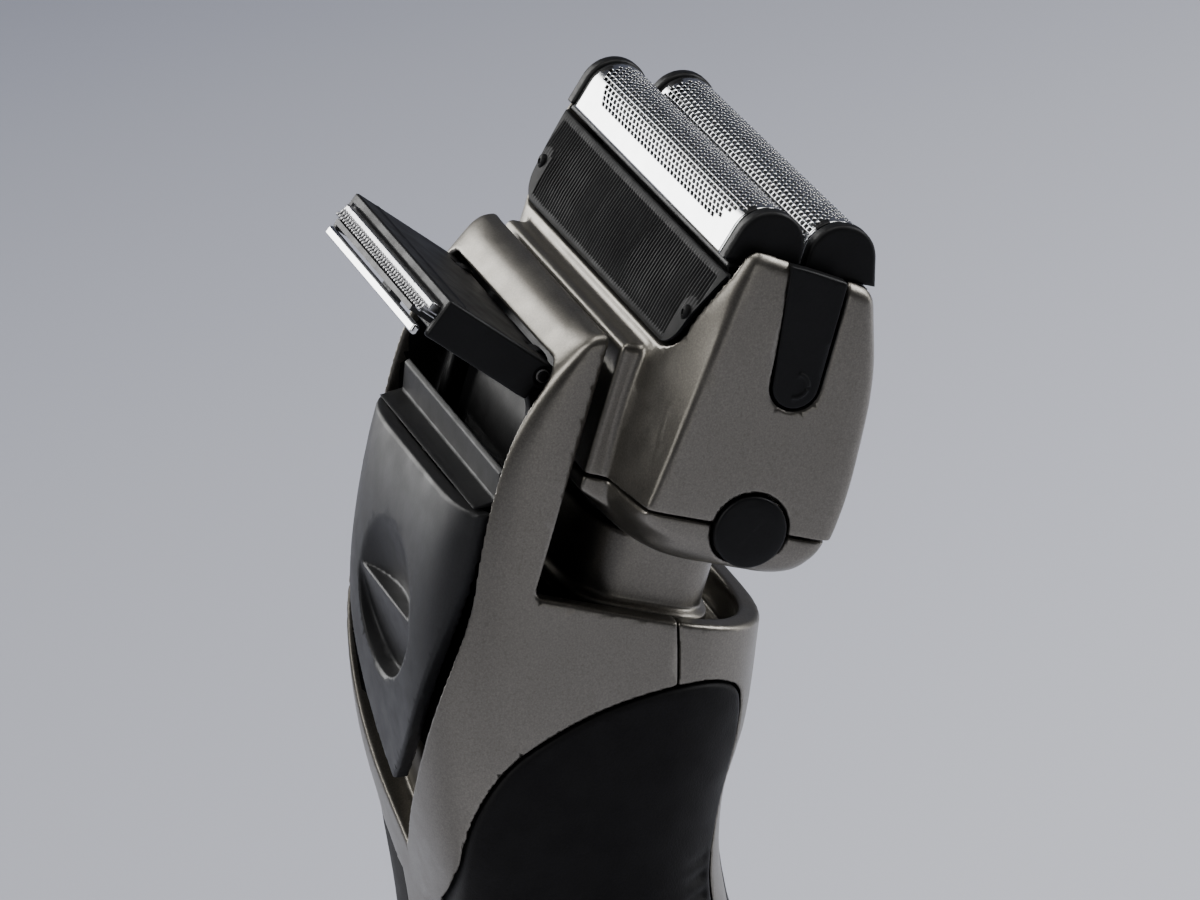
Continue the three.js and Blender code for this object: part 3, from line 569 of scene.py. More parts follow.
def pewter_paint(name, colour, roughness):
    """Metallic paint: a fine sparkle of flakes, a soft orange peel and worn edges."""
    finish = Finish(name, colour, 0.92, roughness)
    flakes = finish.spread(finish.noise(5200.0, 2.0), 0.0, 1.0, 0.42, 0.68)
    finish.tint(flakes, scaled(colour, 1.55), 0.5)
    pits = finish.spread(finish.noise(3100.0, 2.0), 1.0, 0.0, 0.3, 0.5)
    finish.tint(pits, scaled(colour, 0.6), 0.35)
    finish.tint(finish.noise(55.0, 4.0), scaled(colour, 0.86), 0.35)
    finish.worn_edges(scaled(colour, 1.7), 0.5)
    finish.bump(finish.noise(5200.0, 2.0), 0.1, 0.00004)
    finish.bump(finish.noise(420.0, 3.0), 0.05, 0.0001)
    return finish.done(0.035, 260.0)


def moulded(name, colour, roughness, grain=0.22, scale=3600.0, gloss=0.2):
    """Moulded plastic: a fine spark-eroded grain, faint flow marks and rubbed edges."""
    finish = Finish(name, colour, 0.0, roughness)
    finish.shader.inputs["Specular IOR Level"].default_value = gloss
    finish.tint(finish.noise(38.0, 4.0), scaled(colour, 0.72), 0.5)
    finish.tint(finish.spread(finish.noise(scale, 2.0), 0.0, 1.0), scaled(colour, 1.5), 0.28)
    finish.worn_edges(scaled(colour, 2.4), 0.45)
    finish.bump(finish.noise(scale, 2.0), grain, 0.00005)
    return finish.done(0.05, 300.0)


def drawn_metal(name, colour, roughness, along=(1.0, 24.0, 24.0), lines=900.0, depth=0.12):
    """Bare metal with fine drawing lines along one axis and faint tarnish."""
    finish = Finish(name, colour, 1.0, roughness)
    drawn = finish.noise(lines / along[0], 3.0, finish.stretch(along))
    finish.tint(finish.spread(drawn, 0.0, 1.0), scaled(colour, 0.8), 0.35)
    finish.tint(finish.noise(90.0, 4.0), scaled(colour, 0.7), 0.25)
    finish.bump(drawn, depth, 0.00003)
    return finish.done(0.04, 500.0)


def soft_rubber(name, colour, roughness):
    """Rubber: matt skin with fine pores and a dusty bloom."""
    finish = Finish(name, colour, 0.0, roughness)
    finish.shader.inputs["Specular IOR Level"].default_value = 0.15
    finish.tint(finish.noise(60.0, 5.0), scaled(colour, 1.7), 0.3)
    pores = finish.noise(4200.0, 2.0)
    finish.tint(finish.spread(pores, 1.0, 0.0), scaled(colour, 0.5), 0.5)
    finish.worn_edges(scaled(colour, 2.2), 0.35)
    finish.bump(pores, 0.4, 0.00008)
    finish.shader.inputs["Sheen Weight"].default_value = 0.03
    finish.shader.inputs["Sheen Roughness"].default_value = 0.5
    return finish.done(0.06, 240.0)


def glazed(name, colour, roughness):
    """Clear or lacquered plastic: even gloss with faint swirls."""
    finish = Finish(name, colour, 0.0, roughness)
    finish.tint(finish.noise(150.0, 4.0), scaled(colour, 0.6), 0.5)
    finish.tint(finish.noise(1500.0, 2.0), scaled(colour, 1.5), 0.3)
    finish.shader.inputs["Coat Weight"].default_value = 0.5
    finish.bump(finish.noise(900.0, 2.0), 0.06, 0.00005)
    return finish.done(0.03, 400.0)


# ------------------------------------------------------------------ settings
class ShaverSizes(bpy.types.PropertyGroup):
    """Small sizes that shape edges, ribs and holes."""

    shell_edge: FloatProperty(
        name="Shell edge radius", description="Radius of the painted shells' edges",
        default=0.55 * MM, min=0.1 * MM, max=1.0 * MM, unit="LENGTH",
    )
    head_edge: FloatProperty(
        name="Head edge radius", description="Radius of the head's edges",
        default=0.35 * MM, min=0.1 * MM, max=1.0 * MM, unit="LENGTH",
    )
    rib_pitch: FloatProperty(
        name="Rib pitch", description="Spacing of the ribs on the head's side panels",
        default=0.7 * MM, min=0.4 * MM, max=2.0 * MM, unit="LENGTH",
    )
    rib_height: FloatProperty(
        name="Rib height", description="How far the ribs stand out of the side panels",
        default=0.3 * MM, min=0.05 * MM, max=0.4 * MM, unit="LENGTH",
    )
    hole_pitch: FloatProperty(
        name="Foil hole pitch", description="Spacing of the foil's holes along the foil",
        default=1.15 * MM, min=0.7 * MM, max=2.0 * MM, unit="LENGTH",
    )
    hole_row: FloatProperty(
        name="Foil hole rows", description="Spacing of the rows of holes round the foil",
        default=0.56 * MM, min=0.4 * MM, max=1.2 * MM, unit="LENGTH",
    )
    foil_sheet: FloatProperty(
        name="Foil thickness", description="Thickness of the perforated sheet",
        default=0.12 * MM, min=0.05 * MM, max=0.3 * MM, unit="LENGTH",
    )
    tooth_pitch: FloatProperty(
        name="Tooth pitch", description="Spacing of the trimmer comb's teeth",
        default=0.83 * MM, min=0.6 * MM, max=2.0 * MM, unit="LENGTH",
    )


def colour_property(label, text, default):
    """A colour setting with its name, its description and its default."""
    return FloatVectorProperty(
        name=label, description=text, default=default,
        subtype="COLOR", size=3, min=0, max=1,
    )


class ShaverColours(bpy.types.PropertyGroup):
    """Base colours of the finishes."""

    pewter: colour_property("Pewter", "Metallic paint of the shells and the head", (0.2, 0.188, 0.166))
    black: colour_property("Black plastic", "Moulded black pieces", (0.006, 0.006, 0.0065))
    grey: colour_property("Grey plastic", "Slider and front panel", (0.02, 0.02, 0.021))
    rubber: colour_property("Rubber", "Side grips", (0.006, 0.0056, 0.006))
    foil: colour_property("Foil", "Bright foils and guard bar", (0.78, 0.79, 0.8))
    steel: colour_property("Steel", "Screws, pins, comb and cutters", (0.5, 0.5, 0.51))
    brass: colour_property("Contacts", "Plated contacts", (0.72, 0.53, 0.25))
    lens: colour_property("Light", "Charge light", (0.05, 0.33, 0.09))
    board: colour_property("Board", "Circuit board", (0.015, 0.1, 0.035))
    cell: colour_property("Cell", "Battery sleeve", (0.03, 0.1, 0.26))


MATERIALS = {}


def finish(name):
    """One of the object's finishes, made when first asked for."""
    if name not in MATERIALS:
        c = bpy.context.scene.shaver_colours
        makers = {
            "pewter": lambda: pewter_paint("pewter", c.pewter, 0.36),
            "black": lambda: moulded("black_plastic", c.black, 0.45),
            "rib_black": lambda: moulded("ribbed_black", c.black, 0.55, 0.1, gloss=0.1),
            "cutter": lambda: drawn_metal("cutter_steel", scaled(c.steel, 0.16), 0.5),
            "grey": lambda: moulded("grey_plastic", c.grey, 0.42, 0.14, gloss=0.2),
            "rubber": lambda: soft_rubber("grip_rubber", c.rubber, 0.62),
            "foil": lambda: drawn_metal("foil_metal", c.foil, 0.17, depth=0.05),
            "bar": lambda: drawn_metal("guard_metal", c.foil, 0.14, depth=0.04),
            "steel": lambda: drawn_metal("steel", c.steel, 0.3),
            "brass": lambda: drawn_metal("contact_brass", c.brass, 0.26),
            "lens": lambda: glazed("light_lens", c.lens, 0.12),
            "board": lambda: glazed("board", c.board, 0.4),
            "cell": lambda: glazed("cell_wrap", c.cell, 0.3),
        }
        MATERIALS[name] = makers[name]()
    return MATERIALS[name]


def size(name):
    """One of the settings, in millimetres."""
    return getattr(bpy.context.scene.shaver_sizes, name) / MM


def two_tone(obj, second, is_second):
    """Gives the faces whose middle passes a test the second material."""
    obj.data.materials.append(second)
    count = len(obj.data.polygons)
    middles = np.zeros(count * 3)
    obj.data.polygons.foreach_get("center", middles)
    chosen = is_second(middles.reshape(-1, 3) / MM)
    obj.data.polygons.foreach_set("material_index", chosen.astype(np.int32))
    obj.data.update()


# ------------------------------------------------------------------ body shells
def shell_field(space, edge):
    """The whole painted body, before it is parted at its seam."""
    y_head, z_head = in_head(space)
    outer = loft(space, HANDLE)
    outer = both(outer, BASE_HEIGHT + GAP - space.z, edge)
    outer = both(outer, space.z - HOOD_TOP, 1.2)

    # everything above the pocket's rim and in front of the hood is the head's
    head_room = both(HOOD_FACE - y_head, POCKET_RIM - z_head, 1.0)
    field = cut(outer, head_room, edge)
    pocket = both(loft(space, HANDLE, 2.4), HOOD_FACE - y_head, 0.6)
    pocket = both(pocket, POCKET_FLOOR - z_head, 0.8)
    field = cut(field, pocket, edge)
    neck_hole = both(np.abs(space.x) - 13.6, np.abs(y_head - PIVOT_Y) - 5.6, 1.0)
    neck_hole = both(neck_hole, np.abs(z_head - POCKET_FLOOR) - 4)
    cavity = both(loft(space, HANDLE, SHELL_WALL), z_head - POCKET_UNDERSIDE)
    cavity = both(cavity, space.z - 112)
    cavity = both(cavity, either(-15.2 - space.y, space.z - 66))
    field = cut(field, either(cavity, neck_hole))

    # the leaf-shaped opening: a sloping recess for the slider, deep above the bay's floor
    leaf = outline_field(space.x, space.z, leaf_points(0, 0, LEAF_TOP))
    leaf = both(leaf, space.y)

    def depth(z):
        return 3 + 2.2 * (z - LEAF_TIP) / (PANEL_TOP - LEAF_TIP)

    recess = cut(leaf, loft(space, HANDLE, depth, 0.0), 0.5)
    bay = both(leaf, BAY_FLOOR - space.z, 0.5)
    bay = both(bay, y_head - (HOOD_FACE - HOOD_WALL), 0.6)
    field = cut(field, either(recess, bay), edge)

    # shallow beds for the grips and the front panel
    bed = loft(space, HANDLE, 1.6)
    grips = both(outline_field(space.y, space.z, GRIP_LOOP) - GAP, 5 - np.abs(space.x))
    front = both(outline_field(space.x, space.z, FRONT_LOOP) - GAP, 5 - space.y)
    beds = both(either(grips, front), -bed)
    return cut(field, beds, 0.25)


def unpainted(points):
    """True for faces inside the body, which are bare black plastic."""
    at = Places(points)
    y_head, z_head = in_head(at)
    deep = loft(at, HANDLE) < -1.0
    bay = deep & (at.y < 0) & (y_head < HOOD_FACE - 0.3)
    bay &= (at.z > LEAF_TIP + 14) & (at.z < LEAF_TOP + 0.2)
    cavity = (loft(at, HANDLE) < -1.5) & (z_head < POCKET_UNDERSIDE + 0.5) & (at.y > -15.4)
    return bay | cavity


class SHAVER_OT_shells(bpy.types.Operator):
    """Builds the two painted body shells with the hood, the pocket and the leaf-shaped opening"""

    bl_idname = "shaver.shells"
    bl_label = "Body shells"

    def execute(self, context):
        space = Space((-22, -21.5, 5), (22, 22.2, 140.5), 0.3)
        whole = shell_field(space, size("shell_edge"))
        parts = (
            ("rear_shell", both(whole, space.y - SEAM_Y, 0.12)),
            ("front_shell", both(whole, SEAM_Y + GAP / 2 - space.y, 0.12)),
        )
        for node, field in parts:
            obj = skin(f"{node}_form", space, field)
            settle(obj, "body", "pewter_shell", finish("pewter"), node)
            two_tone(obj, finish("black"), unpainted)
        return {"FINISHED"}


class SHAVER_OT_grips(bpy.types.Operator):
    """Builds the rubber grips on both sides of the handle"""

    bl_idname = "shaver.grips"
    bl_label = "Side grips"

    def execute(self, context):
        space = Space((4, -18, 11), (22.5, 17.5, 98), 0.35)
        outline = outline_field(space.y, space.z, GRIP_LOOP)
        rib = 0.5 - 0.5 * np.cos(2 * math.pi * (space.z - 50) / 2.4)
        near_front = np.clip((space.y - 7.5) / 2.5, 0, 1) * np.clip((-outline - 0.6) / 0.8, 0, 1)
        span = np.clip((space.z - 49) / 2, 0, 1) * np.clip((75 - space.z) / 2, 0, 1)
        outer = loft(space, HANDLE, -0.3) + 0.45 * (1 - rib) * near_front * span
        field = both(outer, outline, 0.5)
        field = both(field, 5 - space.x)
        field = cut(field, loft(space, HANDLE, 1.3))
        for side, direction in SIDES:
            obj = sided_skin(f"grip_{side}_form", space, field, direction)
            settle(obj, "body", "grip_rubber", finish("rubber"), f"grip_{side}")
        return {"FINISHED"}


class SHAVER_OT_front(bpy.types.Operator):
    """Builds the front panel, the power button and the charge light"""

    bl_idname = "shaver.front"
    bl_label = "Front panel and button"

    button_z, button_half, button_height = 56, 5.2, 7.2
    light_z, light_radius = 40, 1.3

    def button_oval(self, space):
        """1 on the outline of the power button, less inside it."""
        rise = (space.z - self.button_z) / self.button_height
        return np.hypot(space.x / self.button_half, rise)

    def light_rim(self, space):
        """Distance from the outline of the charge light."""
        return np.hypot(space.x, space.z - self.light_z) - self.light_radius

    def execute(self, context):
        space = Space((-10.5, 12, 25), (10.5, 25, 89), 0.3)
        outline = outline_field(space.x, space.z, FRONT_LOOP)
        oval = self.button_oval(space)
        oval = (oval - 1) * (self.button_half + self.button_height) / 2
        light = self.light_rim(space)
        panel = both(loft(space, HANDLE, -0.15), outline, 0.4)
        panel = cut(panel, either(oval - GAP, light - GAP), 0.2)
        panel = cut(panel, loft(space, HANDLE, 1.3))
        obj = skin("front_panel_form", space, panel)
        settle(obj, "body", "grey_plastic", finish("grey"), "front_panel")

        space = Space((-5.5, 15, 48), (5.5, 23, 64), 0.2)
        oval = self.button_oval(space)
        dished = 0.5 * np.clip(1 - (oval / 0.75) ** 2, 0, 1)
        button = both(loft(space, HANDLE, -0.9) + dished, (oval - 1) * 6.2, 0.5)
        button = cut(button, loft(space, HANDLE, 0.55))
        obj = skin("power_button_form", space, button)
        settle(obj, "power_switch", "black_plastic", finish("black"), "power_button")

        space = Space((-1.5, 16, 38.5), (1.5, 24, 41.5), 0.12)
        light = self.light_rim(space)
        lens = both(loft(space, HANDLE, -0.15), light, 0.3)
        lens = cut(lens, loft(space, HANDLE, 1.3))
        obj = skin("charge_light_form", space, lens)
        settle(obj, "body", "light_lens", finish("lens"), "charge_light")
        return {"FINISHED"}


# ------------------------------------------------------------------ head
def head_end(space):
    """The flat end face and the face that slants from its crease to the back."""
    rise = np.clip((space.z - 2.8) / 24.9, -0.3, 1.1)
    turn = np.radians(14.6 + 27.4 * rise)
    crease_y = 3.0 * rise - 10.0
    end = np.abs(space.x) - 31.0 + 0.002 * (space.y - 2) ** 2
    slant = (np.abs(space.x) - 30.85) * np.sin(turn) - (space.y - crease_y) * np.cos(turn)
    return both(end, slant, 0.6)


def ear_top(space):
    """The sloping top of the ears at both ends of the head."""
    return space.z - EAR_TOP + EAR_SLOPE * (space.y - 2)


def head_bosses(space):
    """The raised block on the back of the head that faces the hood."""
    face = both(-space.y - 14.7, np.abs(space.x) - 21.3, 0.5)
    return both(face, space.y + 8)


def disc_hole(space):
    """The bore of the round buttons at both ends."""
    bore = np.hypot(space.y - BUTTON_Y, space.z) - (BUTTON_RADIUS + GAP)
    return both(bore, 26 - np.abs(space.x))


def neck_well(space, radius):
    """The opening through the bowl and the neck."""
    return both(np.abs(space.x) - WELL_HALF_X, np.abs(space.y - PIVOT_Y) - WELL_HALF_Y, radius)


def neck_screw_bores(space):
    """The two bores for the screws of the neck."""
    return np.hypot(np.abs(space.x) - NECK_SCREW_X, space.y - PIVOT_Y) - NECK_SCREW_BORE


def strip_field(space, grow):
    """Outline of a foil release strip in the head's (y, z), open at the top."""
    sweep = np.linspace(math.pi, 2 * math.pi, 15)
    radius = 2.7 + grow
    points = [
        (STRIP_Y + radius * math.cos(a), STRIP_Z + radius * math.sin(a)) for a in sweep
    ]
    top = HEAD_TOP - GAP if grow <= 0 else HEAD_TOP + 6
    points += [(4.5 + grow, top), (-2.5 - grow, top)]
    return outline_field(space.y, space.z, points)


def window_points(grow):
    """Outline of a ribbed panel in (X, Z)."""
    arc = [
        (23 + 3.6 * math.cos(a), 20.9 + 3.6 * math.sin(a))
        for a in np.linspace(-math.pi / 2, 0, 9)
    ]
    right = [(x + (grow if x > 23.5 else 0), z - grow) for x, z in arc]
    right += [(28.6 + grow, 27.5), (28.6 + 3 * grow, 60)]
    return right + [(-x, z) for x, z in right[::-1]]


class SHAVER_OT_head(bpy.types.Operator):
    """Builds the head housing with its ears, panel windows and boss, and the bowl under it"""

    bl_idname = "shaver.head"
    bl_label = "Head housing and bowl"

    def execute(self, context):
        edge = size("head_edge")
        space = Space((-31.2, -15, -0.5), (31.2, 12.4, 31), 0.32)
        body = both(loft(space, HEAD, -HOUSING_STEP), head_end(space), 0.8)
        body = both(body, ear_top(space) * 0.99, 1.6)
        boss = both(head_bosses(space), space.z - 15.6, 0.9)
        ledge = both(np.abs(space.x) - 20.3, space.z - 14.2)
        boss = cut(boss, both(cut(boss + 0.4, ledge), -space.y - 14.3), 0.1)
        field = either(body, boss, 0.8)
        field = both(field, GAP - space.z, 0.15)
        field = cut(field, loft(space, HEAD, 1.7))
        window = outline_field(space.x, space.z, window_points(GAP))
        field = cut(field, window, edge)
        field = cut(field, disc_hole(space), 0.2)
        slot = both(strip_field(space, GAP), 25 - np.abs(space.x))
        field = cut(field, slot, 0.25)
        obj = skin("head_housing_form", space, field, IN_HEAD)
        settle(obj, "head", "pewter_shell", finish("pewter"), "head_housing")

        space = Space((-31.2, -15, -6.5), (31.2, 12.4, 0.1), 0.32)
        bowl = both(loft(space, HEAD), head_end(space), 0.8)
        bowl = both(bowl, -6.2 - space.z, 1.0)
        chin = both(head_bosses(space), (-2.9 - space.z) * 0.8 - (space.y + 11.6) * 0.3, 0.5)
        bowl = either(bowl, chin, 0.7)
        bowl = both(bowl, space.z, 0.15)
        hollow = both(loft(space, HEAD, 2), -4.2 - space.z, 0.5)
        bowl = cut(bowl, hollow)
        opening = neck_well(space, 1.0)
        bores = neck_screw_bores(space)
        bowl = cut(bowl, either(opening, bores))
        bowl = cut(bowl, disc_hole(space), 0.2)
        obj = skin("head_bowl_form", space, bowl, IN_HEAD)
        settle(obj, "head", "pewter_shell", finish("pewter"), "head_bowl")
        return {"FINISHED"}


class SHAVER_OT_neck(bpy.types.Operator):
    """Builds the oval neck with its foot and the seal round it"""

    bl_idname = "shaver.neck"
    bl_label = "Neck and seal"

    def oval(self, space, half_x, half_y):
        """An upright squared-oval column round the neck's middle."""
        u = np.abs(space.x) / half_x
        w = np.abs(space.y - PIVOT_Y) / half_y
        g = (u**NECK_SQUARENESS + w**NECK_SQUARENESS) ** (1 / NECK_SQUARENESS)
        return (g - 1) * min(half_x, half_y) * (0.6 + 0.4 * u)

    def execute(self, context):
        space = Space((-19, -11.2, -16.5), (19, 8.3, -6.4), 0.3)
        neck = both(self.oval(space, NECK_HALF_WIDTH, NECK_HALF_DEPTH), space.z + 6.5, 0.3)
        foot = self.oval(space, NECK_HALF_WIDTH + NECK_FOOT, NECK_HALF_DEPTH + NECK_FOOT)
        foot = both(foot, space.z + 14.6, 0.4)
        neck = both(either(neck, foot, 0.5), -16.4 - space.z, 0.4)
        well = neck_well(space, 0.6)
        pin = both(
            np.hypot(space.y - PIVOT_Y, space.z - PIVOT_Z) - 1.8, np.abs(space.x) - 17.6
        )
        bores = both(neck_screw_bores(space), -10.8 - space.z)
        neck = cut(neck, either(either(well, pin), bores))
        obj = skin("neck_form", space, neck, IN_HEAD)
        settle(obj, "head", "pewter_shell", finish("pewter"), "neck")

        space = Space((-16.8, -9.6, -19.4), (16.8, 6.6, -18.3), 0.2)
        seal = both(self.oval(space, 16.4, 7.6), between(space.z, -19.2, -18.5), 0.25)
        seal = cut(seal, self.oval(space, 14, 5.9), 0.2)
        obj = skin("neck_seal_form", space, seal, IN_HEAD)
        settle(obj, "body", "grip_rubber", finish("rubber"), "neck_seal")
        return {"FINISHED"}


class SHAVER_OT_releases(bpy.types.Operator):
    """Builds the round head buttons and the keystone foil releases at both ends"""

    bl_idname = "shaver.releases"
    bl_label = "Release buttons"

    def execute(self, context):
        disc = (
            (28.4, 3.6), (28.4, BUTTON_RADIUS), (30.85, BUTTON_RADIUS), (31.02, 4.05), (31.1, 3.85),
            (31.17, 2.6), (31.2, 1.2), (31.21, 0.05),
        )
        for side, direction in SIDES:
            axis_at = (BUTTON_Y, 0)
            obj = turned(f"head_release_{side}_form", disc, axis_at, IN_HEAD, direction)
            body = f"head_button_{side}"
            settle(obj, body, "black_plastic", finish("black"), f"head_release_{side}")

        space = Space((28.9, -3, 14), (31, 6, 30.6), 0.14)
        strip = both(strip_field(space, 0), between(space.x, 29.1, 30.75), 0.22)
        strip = both(strip, ear_top(space), 0.4)
        radius = np.hypot(space.y - STRIP_Y, space.z - STRIP_Z)
        angle = np.arctan2(space.z - STRIP_Z, space.y - STRIP_Y)
        for facing in (-1, 1):
            reach = np.abs(np.angle(np.exp(1j * (angle - facing * 0.9)))) - 0.75
            mark = both(np.abs(radius - 1.35) - 0.2, np.abs(space.x - 30.75) - 0.16, 0.1)
            strip = either(strip, both(mark, reach * 1.3, 0.1), 0.1)
        for side, direction in SIDES:
            obj = sided_skin(f"foil_release_{side}_form", space, strip, direction, IN_HEAD)
            body = f"foil_button_{side}"
            settle(obj, body, "black_plastic", finish("black"), f"foil_release_{side}")
        return {"FINISHED"}


# ------------------------------------------------------------------ foil cassette
def arch_line(side, radius):
    """Points round a foil's arch in (y, z), from its flaring flank to its inner one."""
    end = math.pi - FOIL_FLARE
    arc = [
        (-radius * math.cos(a) * side, FOIL_AXIS_Z + radius * math.sin(a))
        for a in np.linspace(0, end, 40)
    ]
    run = (arc[-1][1] - FOIL_EDGE_Z) * math.tan(FOIL_FLARE)
    line = [(-radius * side, FOIL_EDGE_Z), *arc, (arc[-1][0] + run * side, FOIL_EDGE_Z)]
    offset = side * FOIL_PITCH / 2
    return [(y + offset, z) for y, z in line[::-1]]


class SHAVER_OT_foils(bpy.types.Operator):
    """Builds both foils as thin arched sheets with a staggered pattern of real holes"""

    bl_idname = "shaver.foils"
    bl_label = "Foils"

    def sheet(self, side):
        """Points and faces of a sheet: x runs along the foil, v round the arch."""
        line = np.array(arch_line(side, FOIL_RADIUS))
        steps = np.r_[0, np.cumsum(np.linalg.norm(np.diff(line, axis=0), axis=1))]
        rows = int(round(steps[-1] / size("hole_row")))
        columns = int(round(2 * FOIL_HALF_LENGTH / size("hole_pitch")))
        pitch, height = 2 * FOIL_HALF_LENGTH / columns, steps[-1] / rows
        hole = (
            (0.34, 0.14), (0.5, 0.1), (0.66, 0.14), (0.9, 0.5),
            (0.66, 0.86), (0.5, 0.9), (0.34, 0.86), (0.1, 0.5),
        )
        rim = ((0, 0), (0.5, 0), (1, 0), (1, 0.5), (1, 1), (0.5, 1), (0, 1), (0, 0.5))
        points, faces = [], []

        def add(cell, corners):
            """Adds a cell's points and returns the number of the first."""
            first = len(points)
            for u, v in corners:
                x = -FOIL_HALF_LENGTH + cell[0] * pitch + u * pitch
                along = min((cell[1] + v) * height, steps[-1])
                y = float(np.interp(along, steps, line[:, 0]))
                z = float(np.interp(along, steps, line[:, 1]))
                points.append((x, y, z))
            return first

        for j in range(rows):
            shift = 0.5 * (j % 2)
            for i in range(columns - j % 2):
                cell = (i + shift, j)
                first = add(cell, rim)
                from_end = min(i, columns - 1 - i)
                holed = 4 <= j < rows - 2 and from_end >= 1 + 0.7 * max(0, 9 - j)
                if holed:
                    inner = add(cell, hole)
                    for a in range(8):
                        b = (a + 1) % 8
                        faces.append((first + a, first + b, inner + b, inner + a))
                else:
                    centre = add(cell, ((0.5, 0.5),))
                    for k in (0, 2, 4, 6):
                        faces.append((first + k, first + k + 1, centre, first + (k + 7) % 8))
            if j % 2:
                for start in (0.0, columns - 0.5):
                    half = ((0, 0), (0.5, 0), (0.5, 0.5), (0.5, 1), (0, 1), (0, 0.5))
                    f = add((start, j), half)
                    faces.append((f, f + 1, f + 2, f + 5))
                    faces.append((f + 5, f + 2, f + 3, f + 4))
        return points, faces

    def slotted(self, points):
        """True for the dark slots on the shoulder of the arch, at its ends."""
        at = Places(points)
        y, z = in_head(at)
        outer = np.where(y < 0, y + FOIL_PITCH / 2, y - FOIL_PITCH / 2) < 0
        rise = (z - FOIL_AXIS_Z) / FOIL_RADIUS
        return (np.abs(at.x) > 24.2) & outer & (rise > 0.66) & (rise < 0.9)

    def execute(self, context):
        for name, side in (("rear", -1), ("front", 1)):
            points, faces = self.sheet(side)
            obj = from_faces(f"foil_{name}_form", points, faces, IN_HEAD, 60)
            thick = obj.modifiers.new("sheet", "SOLIDIFY")
            thick.thickness = size("foil_sheet") * MM
            middle = IN_HEAD @ Vector((0, side * FOIL_PITCH / 2, FOIL_AXIS_Z))
            outward = sum(
                (p.center / MM - middle).dot(p.normal) for p in obj.data.polygons[:200]
            )
            if outward < 0:
                obj.data.flip_normals()
            thick.offset = -1
            settle(obj, "foil_cassette", "foil_metal", finish("foil"), f"foil_{name}")
            two_tone(obj, finish("black"), self.slotted)
        return {"FINISHED"}


class SHAVER_OT_caps(bpy.types.Operator):
    """Builds the thick half-round caps at the foils' ends"""

    bl_idname = "shaver.caps"
    bl_label = "Foil caps"

    def execute(self, context):
        start = FOIL_HALF_LENGTH + GAP
        for name, facing in (("rear", -1), ("front", 1)):
            low_y, high_y = sorted((facing * 0.1, facing * 10.6))
            space = Space((start - 0.1, low_y, 28.5), (start + 2.2, high_y, 35.4), 0.12)
            arch = outline_field(space.y, space.z, arch_line(facing, FOIL_RADIUS + 0.25))
            arch = both(arch, GAP / 2 - facing * space.y, 0.3)
            cap = both(arch, between(space.x, start, start + 2), 0.55)
            for side, direction in SIDES:
                node = f"foil_cap_{name}_{side}"
                obj = sided_skin(f"{node}_form", space, cap, direction, IN_HEAD)
                settle(obj, "foil_cassette", "black_plastic", finish("black"), node)
        return {"FINISHED"}


class SHAVER_OT_cassette(bpy.types.Operator):
    """Builds the black frame that carries the foils"""

    bl_idname = "shaver.cassette"
    bl_label = "Foil frame"

    def execute(self, context):
        space = Space((-27.8, -8.8, 18.3), (27.8, 8.8, 29), 0.22)
        ring = brick(space, (-27.6, -8.4, FRAME_UNDERSIDE), (27.6, 8.4, FRAME_TOP), 0.2)
        opening = both(np.abs(space.x) - 25, np.abs(space.y) - 7.4, 0.4)
        field = cut(ring, opening, 0.15)
        out = np.abs(space.x)
        end = both(between(out, 26.2, 27.4, 0.2), np.abs(space.y) - 4.6, 0.3)
        end = both(end, between(space.z, 18.5, 28.5), 0.3)
        seat = both(between(out, 25.1, 26.4), np.abs(space.y) - 7, 0.3)
        seat = both(seat, between(space.z, 20.2, 23), 0.3)
        bar = both(np.abs(space.x) - 25.5, np.abs(space.y) - 0.5)
        bar = both(bar, between(space.z, FRAME_UNDERSIDE, FRAME_TOP), 0.15)
        field = either(either(field, bar), either(end, seat))
        obj = skin("foil_frame_form", space, field, IN_HEAD)
        settle(obj, "foil_cassette", "black_plastic", finish("black"), "foil_frame")
        return {"FINISHED"}


